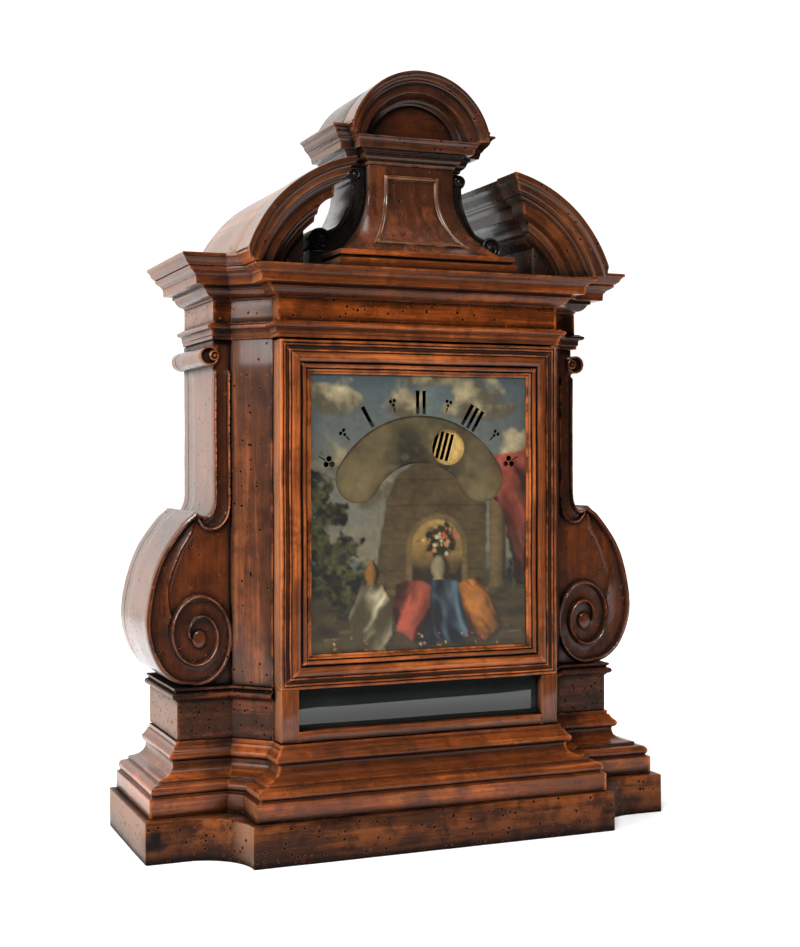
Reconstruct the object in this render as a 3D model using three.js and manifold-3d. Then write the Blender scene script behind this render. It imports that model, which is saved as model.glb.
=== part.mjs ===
// A Roman night clock of the later seventeenth century: a walnut case shaped like a small altar, a
// door that carries a painted copper dial and the movement behind it, and an oil lamp that shines
// through the hour window. Lengths are in millimetres. X runs to the right of someone who faces the
// clock, Z is up, and every depth is given as a distance forward of the rear plane of the case.
import * as THREE from "three";
import { mergeVertices } from "three/addons/utils/BufferGeometryUtils.js";
import Module from "manifold-3d";

const wasm = await Module();
wasm.setup();

// Clearances
const SEAT = 0.3; // between two pieces that are fastened to each other
const DOOR_GAP = 1.0; // round a door in its opening
const RUN = 0.3; // between a turning piece and what carries it

// Plan of the case at the base and at the head: half widths and depths forward of the rear plane
const BASE_SIDE = 330;
const HEAD_SIDE = 278.5;
const WING_FRONT = 166;
const MOULDING_REAR = 8; // the mouldings stop short of the rear plane
const CANT_START = 253; // the canted strip leaves the wing front here
const DOOR_HALF = 207.3;
const BASE_CENTRE_FRONT = 247;
const HEAD_CENTRE_FRONT = 238;
const HEAD_CENTRE_HALF = 209;
const CANT_END = DOOR_HALF + DOOR_GAP;
const CANT_END_FRONT = WING_FRONT + CANT_START - CANT_END;

// Plinth
const PLINTH_SIDE = 389;
const PLINTH_WING_FRONT = 232.7;
const PLINTH_CENTRE = 265.6;
const DEPTH = 306.8; // the plinth is the deepest piece of the clock
const PLINTH_TOP = 56;

// Heights of the case
const BASE_TOP = 146;
const DADO_TOP = BASE_TOP + 72;
const DOOR_BOTTOM = BASE_TOP + 1;
const DOOR_TOP = 687;
const ARCHITRAVE_BOTTOM = DOOR_TOP + 3;
const FRIEZE_BOTTOM = ARCHITRAVE_BOTTOM + 22;
const CORNICE_BOTTOM = FRIEZE_BOTTOM + 31;
const CORNICE_TOP = CORNICE_BOTTOM + 41;
const CROWN_TOP = CORNICE_TOP + 16;
const BOARD = 16; // thickness of the case boards
const THIN_BOARD = 12;
const BACK_BOARD = 14;
const BASE_BOARD = 25;

// Consoles
const CONSOLE_FIELD = 159; // depth of the sunk field of the scroll
const CONSOLE_FRONT = 165.5;
const LIP = 6;
const SCROLL_CENTRE = [299, DADO_TOP + 67];
const SCROLL_RADII = [50.2, 44.6, 43.3, 35.8, 29.4, 26.1, 21.7, 12.6]; // at each quarter turn in
const SCROLL_TALL = 1.27; // the scroll is drawn out in height
const BULGE_HALF = 371;
const BULGE_TIP = 302; // half width at the upper tip of the bulge
const BULGE_MORE = { left: 0, right: 5 }; // the right-hand console was cut wider
const TOP_ROLL = [282.5, ARCHITRAVE_BOTTOM - 22.5];
const TOP_ROLL_RADIUS = 13.2;
const SHAFT_EDGE = 277;
const SHAFT_TOP = ARCHITRAVE_BOTTOM - 44;

// Door
const DOOR_BACK = 204.3;
const STILE = 24.3;
const STILE_FRONT = 232.7;
const DOOR_FRONT = 243;
const PICTURE_BOTTOM = DOOR_BOTTOM + 70.4;
const PICTURE_WIDTH = 45; // width of the picture-frame moulding
const BOTTOM_RAIL = 14;
const STOP = 14; // width of the strip that the closed door stands against
const STOP_GAP = 0.7;
const GLASS_FRONT = 226;
const GLASS = 3;
const PIVOT_X = 203; // the door turns on iron pins set in its right-hand stile
const PIVOT_FORWARD = 229.5;
const PIN = 2;
const PIN_SUNK = 10;

// Dial and hour carrier
const DIAL_CENTRE_Z = DOOR_TOP - 240;
const DIAL_PLATE = 1.5;
const WINDOW_INNER = 74;
const WINDOW_OUTER = 140;
const WINDOW_SPREAD = 61; // degrees each side of upright to the centres of the round ends
const CARRIER_RADIUS = 151;
const CARRIER_PLATE = 1;
const HOUR_RADIUS = 105; // from the dial centre to the centre of an hour aperture
const APERTURE_RADIUS = 25;
const HOURS_SHOWN = 3; // apertures in the carrier, one hour disc behind each
const HOUR_DISC_AXIS = 70;
const HOUR_DISC_RADIUS = 62;
const HOUR_DISC_STEP = 4; // the discs overlap, so each runs in a plane of its own
const HOUR_STUB = 2;
const FIRST_HOUR_ANGLE = 24; // degrees past upright at rest

// Movement
const PLATE = 3;
const FRONT_PLATE = 201; // depth of the front plate's rear face
const PLATE_SPACE = 42;
const MODULE_BARREL = 1.0;
const MODULE_CENTRE = 0.8;
const MODULE_SECOND = 0.6;
const MODULE_THIRD = 0.7;
const BARREL_TEETH = 80;
const CENTRE_PINION = 10;
const CENTRE_TEETH = 72; // the centre arbor carries the hours and turns once in three hours
const SECOND_PINION = 8;
const SECOND_TEETH = 72;
const THIRD_PINION = 8;
const THIRD_TEETH = 46;
const ESCAPE_PINION = 8;
const ESCAPE_TEETH = 30;
const ESCAPE_RADIUS = 15;
const ARBOR = 1.7;
const HUB = 5; // radius of the boss that carries the hour carrier
const PENDULUM_LENGTH = 150; // swings there and back in 0.78 s, which these wheels count to three hours
const BOB_RADIUS = 13;

// Crown moulding over the cornice, measured out from the wall
const CROWN_BACK = 28;
const CROWN_OUT = 55;

// Pediment
const RAKE_CENTRE_X = 78.4;
const RAKE_CENTRE_Z = CORNICE_TOP - 54;
const RAKE_RADIUS = 200;
const RAKE_INNER_END = 117;
const RAKE_STUB = 233; // depth at which the mitred return stops
const RAKE_RISE = { left: 1.5, right: -3 }; // the two halves were never quite level
const RAKE_STEP = 1.5; // the block behind is that much smaller

// Crest
const NECK_HALF = 64;
const NECK_FRONT = 200;
const NECK_TOP = CORNICE_TOP + 153;
const FLARE_TOP = NECK_TOP - 32;
const FLARE_BOTTOM = CORNICE_TOP + 25;
const FLARE_OUT = 53;
const CREST_REAR = 75;
const CREST_WING_HALF = 83;
const CREST_WING_FRONT = 177;
const CREST_PLINTH_HALF = 133;
const CREST_PLINTH_FRONT = 265;
const CREST_PLINTH_TOP = CORNICE_TOP + 13;
const SCROLL_SEAT_HALF = 148;
const SCROLL_SEAT_TOP = CORNICE_TOP + 31;
const SCROLL_REAR = 97;
const SCROLL_FRONT = 185;
const CREST_CORNICE_TOP = NECK_TOP + 35;
const CREST_CROWN_TOP = CREST_CORNICE_TOP + 15;
const CREST_CROWN_BACK = 16;
const CREST_CROWN_OUT = 40;
const ARCH_CENTRE_Z = CREST_CORNICE_TOP - 16;
const ARCH_RADIUS = 107;

// Rear door and lamp
const REAR_DOOR_HALF = 190;
const REAR_DOOR_THICK = 12;
const REAR_PIN = 2.2; // the rear door turns on pintles cut from its own board
const REAR_PIN_LONG = 9;
const REAR_DOOR_BOTTOM = DADO_TOP - 9;
const REAR_DOOR_TOP = ARCHITRAVE_BOTTOM - 41;
const REAR_RECESS = 4.4; // the rear door and its frame lie this far inside the rear plane
const SHELF_TOP = DIAL_CENTRE_Z - 9;
const SHELF_DEPTH = 112;
const LAMP_RADIUS = 36;
const LAMP_FORWARD = 66;

const rad = (degrees) => (degrees * Math.PI) / 180;

// A round pin or hole on an upright axis.
function upright(x, forward, z0, z1, radius, segments = 12) {
  const g = new THREE.CylinderGeometry(radius, radius, z1 - z0, segments);
  return g.rotateX(Math.PI / 2).translate(x, -forward, (z0 + z1) / 2);
}

const doorPin = (z0, z1, radius) => upright(PIVOT_X, PIVOT_FORWARD, z0, z1, radius);

const rearPivot = (z0, z1, radius) => {
  const half = REAR_DOOR_THICK / 2;
  return upright(half - REAR_DOOR_HALF, REAR_RECESS + half, z0, z1, radius);
};

const mirror = (points) => points.map(([x, z]) => [-x, z]).reverse();

const finish = {
  walnut: [0x7a3d1c, 0.42, 0],
  darkWalnut: [0x3b2013, 0.5, 0],
  paleWalnut: [0x8d5a34, 0.7, 0],
  brass: [0xb08a45, 0.35, 1],
  iron: [0x3a3835, 0.5, 1],
  paint: [0x4d5340, 0.55, 0],
  enamel: [0xcfc39b, 0.5, 0],
  glass: [0x26302c, 0.08, 0],
};

const clock = new THREE.Group();
clock.position.y = DEPTH / 2; // the clock is built from its rear plane, and its origin is its middle

function material(kind) {
  const [color, roughness, metalness] = finish[kind];
  return new THREE.MeshStandardMaterial({ color, roughness, metalness });
}

function add(name, kind, geometry, x = 0, forward = 0, z = 0) {
  const mesh = new THREE.Mesh(geometry, material(kind));
  mesh.name = name;
  mesh.position.set(x, -forward, z);
  clock.add(mesh);
  return mesh;
}

// A box given by its limits across, forward and up.
function box(x, forward, z) {
  const g = new THREE.BoxGeometry(x[1] - x[0], forward[1] - forward[0], z[1] - z[0]);
  return g.translate((x[0] + x[1]) / 2, -(forward[0] + forward[1]) / 2, (z[0] + z[1]) / 2);
}

// A closed mesh from points [x, forward, z] and faces of three or four corners, turned facing out.
function shell(points, faces) {
  const position = points.flatMap(([x, f, z]) => [x, -f, z]);
  const triangles = faces.flatMap((face) =>
    face.length === 3 ? [face] : [[face[0], face[1], face[2]], [face[0], face[2], face[3]]],
  );
  const at = (i) => new THREE.Vector3(...position.slice(3 * i, 3 * i + 3));
  const volume = triangles.reduce((sum, [a, b, c]) => sum + at(a).dot(at(b).cross(at(c))), 0);
  const index = triangles.flatMap((t) => (volume < 0 ? [t[0], t[2], t[1]] : t));
  const geometry = new THREE.BufferGeometry();
  geometry.setAttribute("position", new THREE.Float32BufferAttribute(position, 3));
  geometry.setIndex(index);
  geometry.computeVertexNormals();
  return geometry;
}

// A solid that joins a row of like sections, with a flat cap at each end of an open row.
function loft(sections, ring = false) {
  const n = sections[0].length;
  const points = sections.flat();
  const faces = [];
  const last = ring ? sections.length : sections.length - 1;
  for (let s = 0; s < last; s++) {
    const a = s * n;
    const b = ((s + 1) % sections.length) * n;
    for (let i = 0; i < n; i++) {
      const j = (i + 1) % n;
      faces.push([a + i, a + j, b + j, b + i]);
    }
  }
  return { points, faces, n };
}

// Caps a loft with the triangles of one flat outline.
function capped(sections, outline) {
  const { points, faces, n } = loft(sections);
  const flat = outline.map(([a, b]) => new THREE.Vector2(a, b));
  const end = (sections.length - 1) * n;
  const clockwise = THREE.ShapeUtils.isClockWise(flat);
  for (const [a, b, c] of THREE.ShapeUtils.triangulateShape(flat, [])) {
    faces.push(clockwise ? [a, b, c] : [c, b, a]);
    faces.push(clockwise ? [end + c, end + b, end + a] : [end + a, end + b, end + c]);
  }
  return shell(points, faces);
}

// The outward shift of a corner of a plan line, for one millimetre of projection.
function mitre(path, i, ring = false) {
  const n = path.length;
  const normal = (a, b) => {
    const [dx, df] = [b[0] - a[0], b[1] - a[1]];
    const length = Math.hypot(dx, df);
    return [-df / length, dx / length];
  };
  const before = i > 0 || ring ? normal(path[(i - 1 + n) % n], path[i]) : null;
  const after = i < n - 1 || ring ? normal(path[i], path[(i + 1) % n]) : null;
  if (!before) return after;
  if (!after) return before;
  const k = 1 + before[0] * after[0] + before[1] * after[1];
  return [(before[0] + after[0]) / k, (before[1] + after[1]) / k];
}

// A moulding: its profile [projection, height] runs along part of a plan line [x, forward], with
// mitred corners.
function moulding(profile, path, from = 0, to = path.length - 1) {
  const sections = [];
  for (let i = from; i <= to; i++) {
    const [mx, mf] = mitre(path, i);
    sections.push(profile.map(([p, z]) => [path[i][0] + p * mx, path[i][1] + p * mf, z]));
  }
  return capped(sections, profile);
}

// A flat piece with its outline in the XZ plane, from one depth to another.
function slab(outline, from, to, segments = 8) {
  const shape = outline instanceof THREE.Shape ? outline : shapeOf(outline);
  const g = new THREE.ExtrudeGeometry(shape, {
    depth: to - from,
    bevelEnabled: false,
    curveSegments: segments,
  });
  return g.rotateX(Math.PI / 2).translate(0, -from, 0);
}

// A flat piece with its outline [x, forward] in plan, from one height to another.
function board(outline, from, to) {
  const shape = shapeOf(outline.map(([x, f]) => [x, -f]));
  const g = new THREE.ExtrudeGeometry(shape, { depth: to - from, bevelEnabled: false });
  return g.translate(0, 0, from);
}

const shapeOf = (points) => new THREE.Shape(points.map(([x, z]) => new THREE.Vector2(x, z)));

// A turned piece on an axis that runs forward; its profile is [radius, forward].
function turned(profile, segments = 24) {
  const points = profile.map(([r, f]) => new THREE.Vector2(r, -f));
  return new THREE.LatheGeometry(points.reverse(), segments);
}

function solid(geometry) {
  const g = geometry.index ? geometry.toNonIndexed() : geometry.clone();
  for (const name of ["normal", "uv"]) g.deleteAttribute(name);
  const merged = mergeVertices(g, 1e-4);
  const mesh = new wasm.Mesh({
    numProp: 3,
    vertProperties: new Float32Array(merged.attributes.position.array),
    triVerts: new Uint32Array(merged.index.array),
  });
  return new wasm.Manifold(mesh);
}

function geometryOf(manifold) {
  const mesh = manifold.getMesh();
  const g = new THREE.BufferGeometry();
  g.setAttribute("position", new THREE.Float32BufferAttribute(mesh.vertProperties, 3));
  g.setIndex(Array.from(mesh.triVerts));
  g.computeVertexNormals();
  return g;
}

const join = (first, ...rest) => geometryOf(rest.reduce((m, g) => m.add(solid(g)), solid(first)));
const cut = (first, ...rest) =>
  geometryOf(rest.reduce((m, g) => m.subtract(solid(g)), solid(first)));

// Points of an arc in the XZ plane, angles in degrees from +X.
function arc(cx, cz, r, from, to, steps) {
  return Array.from({ length: steps + 1 }, (_, i) => {
    const a = rad(from + ((to - from) * i) / steps);
    return [cx + r * Math.cos(a), cz + r * Math.sin(a)];
  });
}

// A smooth line through a few points, as a list of points.
function smooth(points, steps) {
  const curve = new THREE.SplineCurve(points.map(([x, z]) => new THREE.Vector2(x, z)));
  return curve.getPoints(steps).map((p) => [p.x, p.y]);
}

// A strip of even width along a line, as an outline.
function ribbon(points, width) {
  const side = (sign) =>
    points.map((p, i) => {
      const [mx, mz] = mitre(points, i);
      return [p[0] + (sign * mx * width) / 2, p[1] + (sign * mz * width) / 2];
    });
  return [...side(1), ...side(-1).reverse()];
}

// The wall line of half the case: rear, front corner, cant and the step out to the centre.
function planLine(side, centreHalf, centreFront) {
  const left = [
    [-side, MOULDING_REAR],
    [-side, WING_FRONT],
    [-CANT_START, WING_FRONT],
    [-centreHalf, WING_FRONT + CANT_START - centreHalf],
    [-centreHalf, centreFront],
  ];
  return [...left, ...mirror(left)];
}

const basePlan = planLine(BASE_SIDE, DOOR_HALF, BASE_CENTRE_FRONT);
const headPlan = planLine(HEAD_SIDE, HEAD_CENTRE_HALF, HEAD_CENTRE_FRONT);

function plinth() {
  const hollow = PLINTH_SIDE - (DEPTH - PLINTH_WING_FRONT) + 20.9;
  const radius = hollow - PLINTH_CENTRE;
  const steps = 7;
  const curve = Array.from({ length: steps + 1 }, (_, i) => {
    const a = rad((90 * i) / steps);
    return [-hollow + radius * Math.sin(a), PLINTH_WING_FRONT + radius * (1 - Math.cos(a))];
  });
  const left = [[-PLINTH_SIDE, 0], [-PLINTH_SIDE, PLINTH_WING_FRONT], ...curve];
  left.push([-PLINTH_CENTRE, DEPTH]);
  add("plinth", "darkWalnut", board([...left, ...mirror(left)], 0, PLINTH_TOP));
}

function baseMoulding() {
  const z = PLINTH_TOP;
  const profile = [
    [-BASE_BOARD, z + SEAT], [50, z + SEAT], [50, z + 25], [46, z + 26],
    ...arc(40, z + 33, 7, -80, 80, 6),
    [33.5, z + 41], [33, z + 45], [27, z + 46],
    ...smooth([[23, z + 46.5], [15, z + 49], [10, z + 54], [8, z + 61]], 6),
    [8, z + 65], ...arc(8, z + 71.5, 6, -80, 70, 5), [6, z + 84], [3, z + 85], [3, z + 90],
    [-BASE_BOARD, BASE_TOP],
  ];
  const hole = doorPin(BASE_TOP - PIN_SUNK, BASE_TOP + 1, PIN + RUN);
  add("base_moulding", "walnut", cut(moulding(profile, basePlan), hole));
}

// The front of each wing below the console, with its capping bead and its top board.
function dado(name, sign) {
  const z = DADO_TOP;
  const profile = [
    [-BOARD, BASE_TOP + SEAT], [0, BASE_TOP + SEAT], [0, z - 19], [3, z - 16],
    ...arc(4, z - 11.5, 4, -90, 90, 4), [3, z - 7], [2, z - 6], [5, z - 3.5], [5, z], [-BOARD, z],
  ];
  const left = [
    [-BASE_SIDE, 0],
    [-BASE_SIDE, WING_FRONT],
    [-CANT_START, WING_FRONT],
    [-CANT_END + 20, CANT_END_FRONT + 20],
  ];
  const path = sign < 0 ? left : mirror(left);
  const wall = cut(
    moulding(profile, path),
    box([-CANT_END, CANT_END], [0, DEPTH], [BASE_TOP - 1, z + 1]),
  );
  const inside = BASE_SIDE - BOARD / 2;
  const top = box(
    [Math.min(sign * (CANT_START + 2), sign * inside), Math.max(sign * (CANT_START + 2), sign * inside)],
    [BACK_BOARD + SEAT, WING_FRONT - BOARD / 2],
    [z - THIN_BOARD, z],
  );
  add(name, "darkWalnut", join(wall, top));
}

// The bulging edge of the console, from its tip to the foot of the scroll: half width, and height
// over the dado.
const consoleBulge = [
  [BULGE_TIP, 238], [318, 224], [334.5, 203], [347.5, 183], [358, 158.5], [365.5, 131],
  [370, 104], [BULGE_HALF, 81], [367, 58], [359.5, 38], [349, 21], [334, 8], [317, 1.2],
];

// Lines of the console, given in height over the dado.
const overDado = (points) => points.map(([x, up]) => [x, DADO_TOP + up]);

const bulgeLine = (more) =>
  smooth(overDado(consoleBulge), 21).map(([x, z]) => {
    const share = Math.max(0, (x - BULGE_TIP) / (BULGE_HALF - BULGE_TIP));
    return [x + more * share, z];
  });

// The scroll that winds in from the foot to the eye.
function scrollLine() {
  const steps = 29;
  const radii = new THREE.SplineCurve(SCROLL_RADII.map((r, q) => new THREE.Vector2(q, r)));
  return Array.from({ length: steps + 1 }, (_, i) => {
    const { x: q, y: r } = radii.getPoint(i / steps);
    const a = rad(-90 - 90 * q);
    return [
      SCROLL_CENTRE[0] + r * Math.cos(a),
      SCROLL_CENTRE[1] + SCROLL_TALL * r * Math.sin(a),
    ];
  });
}

function consoleShape(more) {
  const z = DADO_TOP + SEAT;
  const top = ARCHITRAVE_BOTTOM - SEAT;
  const cove = smooth(overDado([[BULGE_TIP, 238], [296, 232.5], [288, 230.5], [281, 239], [277, 256]]), 7);
  return [
    [CANT_START + SEAT, z], [306, z], ...bulgeLine(more).reverse(), ...cove.slice(1),
    [SHAFT_EDGE, SHAFT_TOP], ...arc(...TOP_ROLL, TOP_ROLL_RADIUS, -100, 110, 8),
    [SHAFT_EDGE, top - 5], [SHAFT_EDGE, top], [CANT_START + SEAT, top],
  ];
}

// A console across the side of the case: shaft, top roll, and the big scroll with its raised lips.
function sideConsole(name, sign, more) {
  const turn = (points) => (sign > 0 ? points : mirror(points));
  const inset = LIP / 2;
  const rim = bulgeLine(more).map(([x, z], i, all) => {
    const [mx, mz] = mitre(all, i);
    return [x - inset * mx, z - inset * mz];
  });
  const relief = (points, width, height) =>
    slab(turn(ribbon(points, width)), CONSOLE_FIELD - 1, CONSOLE_FIELD + height);
  const raised = CONSOLE_FRONT - CONSOLE_FIELD;
  const strap = [
    [256.5, SHAFT_TOP],
    ...overDado([[256.5, 252], ...smooth([[256.5, 242], [259, 229], [267, 219], [279, 213.5],
      [290, 216], [297, 225], [299.5, 234]], 9)]),
  ];
  const arris = [
    [275, SHAFT_TOP],
    ...overDado([[275, 256], ...smooth([[275, 252], [279, 237], [287, 228.5], [296, 230],
      [300, 235]], 6)]),
  ];
  const hollow = smooth(overDado([[303, 220], [318, 196], [331, 166], [339, 137], [339, 112]]), 7);
  const rollEye = arc(TOP_ROLL[0] - 6.5, TOP_ROLL[1] + 0.5, 7.5, 0, 330, 11);
  const scrollEye = arc(0, 0, 1, 0, 337.5, 15)
    .map(([x, z]) => [SCROLL_CENTRE[0] - 1 + 10.6 * x, SCROLL_CENTRE[1] - 2.8 + 13.3 * z]);
  const whole = join(
    slab(turn(consoleShape(more)), 0, CONSOLE_FIELD),
    relief([...rim, ...scrollLine()], LIP * 0.8, raised),
    relief(strap, 4, raised - 1.5),
    relief(arris, 3.6, raised),
    relief(hollow, 3.5, raised / 2),
    ...[rollEye, scrollEye].map((line) => slab(turn(line), CONSOLE_FIELD - 1, CONSOLE_FRONT)),
  );
  const inner = [sign * (CANT_START + SEAT - TOP_ROLL[0]), sign * (CANT_START + SEAT)];
  const pastWall = box(inner.sort((a, b) => a - b), [0, DEPTH], [DADO_TOP, ARCHITRAVE_BOTTOM]);
  const underFoot = box([-PLINTH_SIDE, PLINTH_SIDE], [0, DEPTH], [BASE_TOP, DADO_TOP + SEAT]);
  add(name, "walnut", cut(whole, pastWall, underFoot));
}

function cases() {
  const z0 = BASE_TOP + SEAT + THIN_BOARD + SEAT;
  for (const [side, sign] of [["left", -1], ["right", 1]]) {
    const turn = (points) => (sign < 0 ? points : mirror(points));
    dado(`dado_${side}`, sign);
    sideConsole(`console_${side}`, sign, BULGE_MORE[side]);
    const wall = [CANT_START - BOARD, CANT_START].map((x) => sign * x).sort((a, b) => a - b);
    add(`side_board_${side}`, "paleWalnut",
      box(wall, [BACK_BOARD + REAR_RECESS + SEAT, WING_FRONT - BOARD * 1.45],
        [z0, ARCHITRAVE_BOTTOM - SEAT]));
    const back = BOARD * Math.SQRT2;
    const strip = [
      [-CANT_START, WING_FRONT],
      [-CANT_END, CANT_END_FRONT],
      [-CANT_END, DOOR_BACK - STOP_GAP],
      [-CANT_END + STOP, DOOR_BACK - STOP_GAP],
      [-CANT_END + STOP, CANT_END_FRONT + STOP - back],
      [-CANT_START, WING_FRONT - back],
    ];
    add(`pilaster_${side}`, "walnut",
      board(turn(strip), DADO_TOP + SEAT, ARCHITRAVE_BOTTOM - SEAT));
  }
  const ledge = BOARD + SEAT;
  const floor = basePlan.map(([x, f], i) => {
    const [mx, mf] = mitre(basePlan, i);
    return [x - ledge * mx, f - ledge * mf];
  });
  const rear = BACK_BOARD + SEAT;
  const front = DOOR_BACK - SEAT;
  const corner = floor[3];
  const half = corner[0] + (corner[1] - front);
  const plan = [
    [floor[1][0], rear], [floor[1][0], floor[1][1]], [floor[2][0], floor[2][1]], [half, front],
  ];
  add("floor_board", "paleWalnut",
    board([...plan, ...mirror(plan)], BASE_TOP + SEAT, BASE_TOP + SEAT + THIN_BOARD));
  const inside = BASE_SIDE - BOARD - SEAT;
  const low = BASE_SIDE - BASE_BOARD - SEAT;
  const back = [0, BACK_BOARD];
  add("base_back", "paleWalnut", cut(
    join(
      box([-low, low], back, [PLINTH_TOP + SEAT, BASE_TOP + BOARD]),
      box([-inside, inside], back, [BASE_TOP + SEAT, REAR_DOOR_BOTTOM - DOOR_GAP]),
    ),
    rearPivot(REAR_DOOR_BOTTOM - DOOR_GAP - REAR_PIN_LONG, REAR_DOOR_BOTTOM, REAR_PIN + RUN),
  ));
}

function entablature() {
  const a = ARCHITRAVE_BOTTOM;
  const architrave = moulding([
    [-BOARD, a], [2, a], [4, a + 6], [4.5, a + 13], [10, a + 14], ...arc(8.5, a + 17, 2.6, -60, 90, 4),
    [6, a + 21], [6, FRIEZE_BOTTOM - SEAT], [-BOARD, FRIEZE_BOTTOM - SEAT],
  ], headPlan);
  add("architrave", "walnut", cut(architrave, doorPin(a - 1, a + PIN_SUNK, PIN + RUN)));
  const f = FRIEZE_BOTTOM;
  add("frieze", "walnut", moulding(
    [[-BOARD, f], [0, f], [0, CORNICE_BOTTOM - SEAT], [-BOARD, CORNICE_BOTTOM - SEAT]], headPlan));
  const c = CORNICE_BOTTOM;
  add("cornice", "walnut", moulding([
    [-BOARD, c], [1, c], [1, c + 2], ...smooth([[3, c + 3], [10, c + 6], [14.5, c + 12]], 4),
    [18, c + 13], [18, c + 18], [31, c + 18], [32, c + 28.5], [33.5, c + 29],
    ...smooth([[33.5, c + 29.5], [35, c + 32], [38.5, c + 34], [41, c + 36.5]], 4),
    [43, c + 37], [43.5, CORNICE_TOP], [-BOARD, CORNICE_TOP],
  ], headPlan));
  const t = CORNICE_TOP + SEAT;
  const crown = [
    [CROWN_BACK, t], [45, t], ...smooth([[46, t + 1], [49, t + 3.5], [50, t + 7], [53, t + 10.5]], 5),
    [CROWN_OUT, t + 11], [CROWN_OUT, CROWN_TOP], [CROWN_BACK, CROWN_TOP],
  ];
  add("crown_left", "walnut", moulding(crown, headPlan, 0, 4));
  add("crown_right", "walnut", moulding(crown, headPlan, 5, 9));

  const ledge = BOARD + SEAT;
  const inner = headPlan.map(([x, fwd], i) => {
    const [mx, mf] = mitre(headPlan, i);
    return [x - ledge * mx, fwd - ledge * mf];
  });
  const rear = REAR_RECESS + BACK_BOARD + SEAT;
  inner[0][1] = rear;
  inner[9][1] = rear;
  add("deck_board", "darkWalnut", board(inner, CORNICE_TOP - THIN_BOARD, CORNICE_TOP));
  const back = [REAR_RECESS, REAR_RECESS + BACK_BOARD];
  const wide = HEAD_SIDE - BOARD - SEAT;
  add("head_back", "paleWalnut", cut(
    join(
      box([-CANT_START, CANT_START], back, [REAR_DOOR_TOP + DOOR_GAP, a + BOARD]),
      box([-wide, wide], back, [a + SEAT, CORNICE_TOP]),
    ),
    rearPivot(REAR_DOOR_TOP, REAR_DOOR_TOP + DOOR_GAP + REAR_PIN_LONG, REAR_PIN + RUN),
  ));
  for (const [side, sign] of [["left", -1], ["right", 1]]) {
    const x = [REAR_DOOR_HALF + DOOR_GAP, CANT_START].map((v) => sign * v).sort((p, q) => p - q);
    add(`back_stile_${side}`, "paleWalnut",
      box(x, back, [REAR_DOOR_BOTTOM - DOOR_GAP + SEAT, REAR_DOOR_TOP + DOOR_GAP - SEAT]));
  }
}

// Raking moulding of the pediment: how far in from the outer arris, and how far back from it.
function rakeProfile() {
  return [
    [0, 0], [8, 0.5], [9, 2], ...smooth([[10, 4], [14, 6.5], [19, 7.5], [22, 11]], 4),
    [24, 12], [24, 15], [27, 15.5], [28, 18], [29, 23], [43, 24], [43, 33],
    ...smooth([[44, 34], [47, 39], [53, 41]], 3), [54, 44], [60, 45], [60, CROWN_OUT],
  ];
}

function pediment(side, sign) {
  const centreZ = RAKE_CENTRE_Z + RAKE_RISE[side];
  const profile = rakeProfile();
  const front = HEAD_CENTRE_FRONT + CROWN_OUT;
  const outline = [...profile, [0, CROWN_OUT]];
  const steps = 9;
  const foot = 12;
  const endAngle = (t, d) =>
    Math.acos((RAKE_INNER_END + d - RAKE_CENTRE_X) / (RAKE_RADIUS - t));
  const point = (t, d, a, f = front - d) => [
    RAKE_CENTRE_X + (RAKE_RADIUS - t) * Math.cos(a),
    f,
    centreZ + (RAKE_RADIUS - t) * Math.sin(a),
  ];
  const sections = [];
  for (let i = 0; i <= steps; i++) {
    sections.push(outline.map(([t, d]) => {
      const a = rad(foot) + ((endAngle(t, d) - rad(foot)) * i) / steps;
      return point(t, d, a);
    }));
  }
  sections.push(outline.map(([t, d]) => point(t, d, endAngle(t, d), RAKE_STUB)));
  const flip = (section) => section.map(([x, f, z]) => [sign * x, f, z]);
  const rake = capped(sections.map(flip), outline);
  const wide = RAKE_CENTRE_X + RAKE_RADIUS;
  const below = box([-wide, wide], [0, 2 * DEPTH], [centreZ - RAKE_RADIUS, CORNICE_TOP + SEAT]);
  const lean = HEAD_CENTRE_FRONT - HEAD_CENTRE_HALF + 0.45;
  const inside = HEAD_CENTRE_HALF + CROWN_BACK - SEAT;
  const crownSpace = [[inside, 0], [inside, inside + lean], [wide, wide + lean], [wide, 0]];
  const crownTop = CROWN_TOP + SEAT;
  const turn = (points) => (sign > 0 ? points : mirror(points));
  const clear = board(turn(crownSpace), CORNICE_TOP - 1, crownTop);
  add(`pediment_moulding_${side}`, "walnut", cut(rake, below, clear));

  const small = RAKE_RADIUS - RAKE_STEP;
  const inner = profile.map(([t, d]) => {
    const a = Math.acos((RAKE_INNER_END + RAKE_STEP + d - RAKE_CENTRE_X) / (small - t));
    return [RAKE_INNER_END + RAKE_STEP + d, centreZ + (small - t) * Math.sin(a)];
  });
  const topAngle = (Math.acos((inner[0][0] - RAKE_CENTRE_X) / small) * 180) / Math.PI;
  const footAngle = (Math.asin((crownTop - centreZ) / small) * 180) / Math.PI;
  const wall = RAKE_INNER_END + CROWN_OUT + RAKE_STEP;
  const roof = [
    [wall, CORNICE_TOP + SEAT], [inside, CORNICE_TOP + SEAT], [inside, crownTop],
    ...arc(RAKE_CENTRE_X, centreZ, small, footAngle, topAngle, 12),
    ...inner.slice(1),
  ];
  const tympanum = [
    [wall, CORNICE_TOP + SEAT], [inside, CORNICE_TOP + SEAT], [inside, crownTop],
    ...arc(RAKE_CENTRE_X, centreZ, small - 1, footAngle + 1, 62, 7),
  ].filter(([x]) => x >= wall);
  const edge = Math.sqrt((small - 1) ** 2 - (wall - RAKE_CENTRE_X) ** 2) + centreZ;
  tympanum.push([wall, edge]);
  add(`pediment_block_${side}`, "walnut", join(
    slab(turn(roof), MOULDING_REAR, RAKE_STUB - SEAT),
    slab(turn(tympanum), RAKE_STUB - 2, HEAD_CENTRE_FRONT - SEAT),
  ));
}

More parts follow.
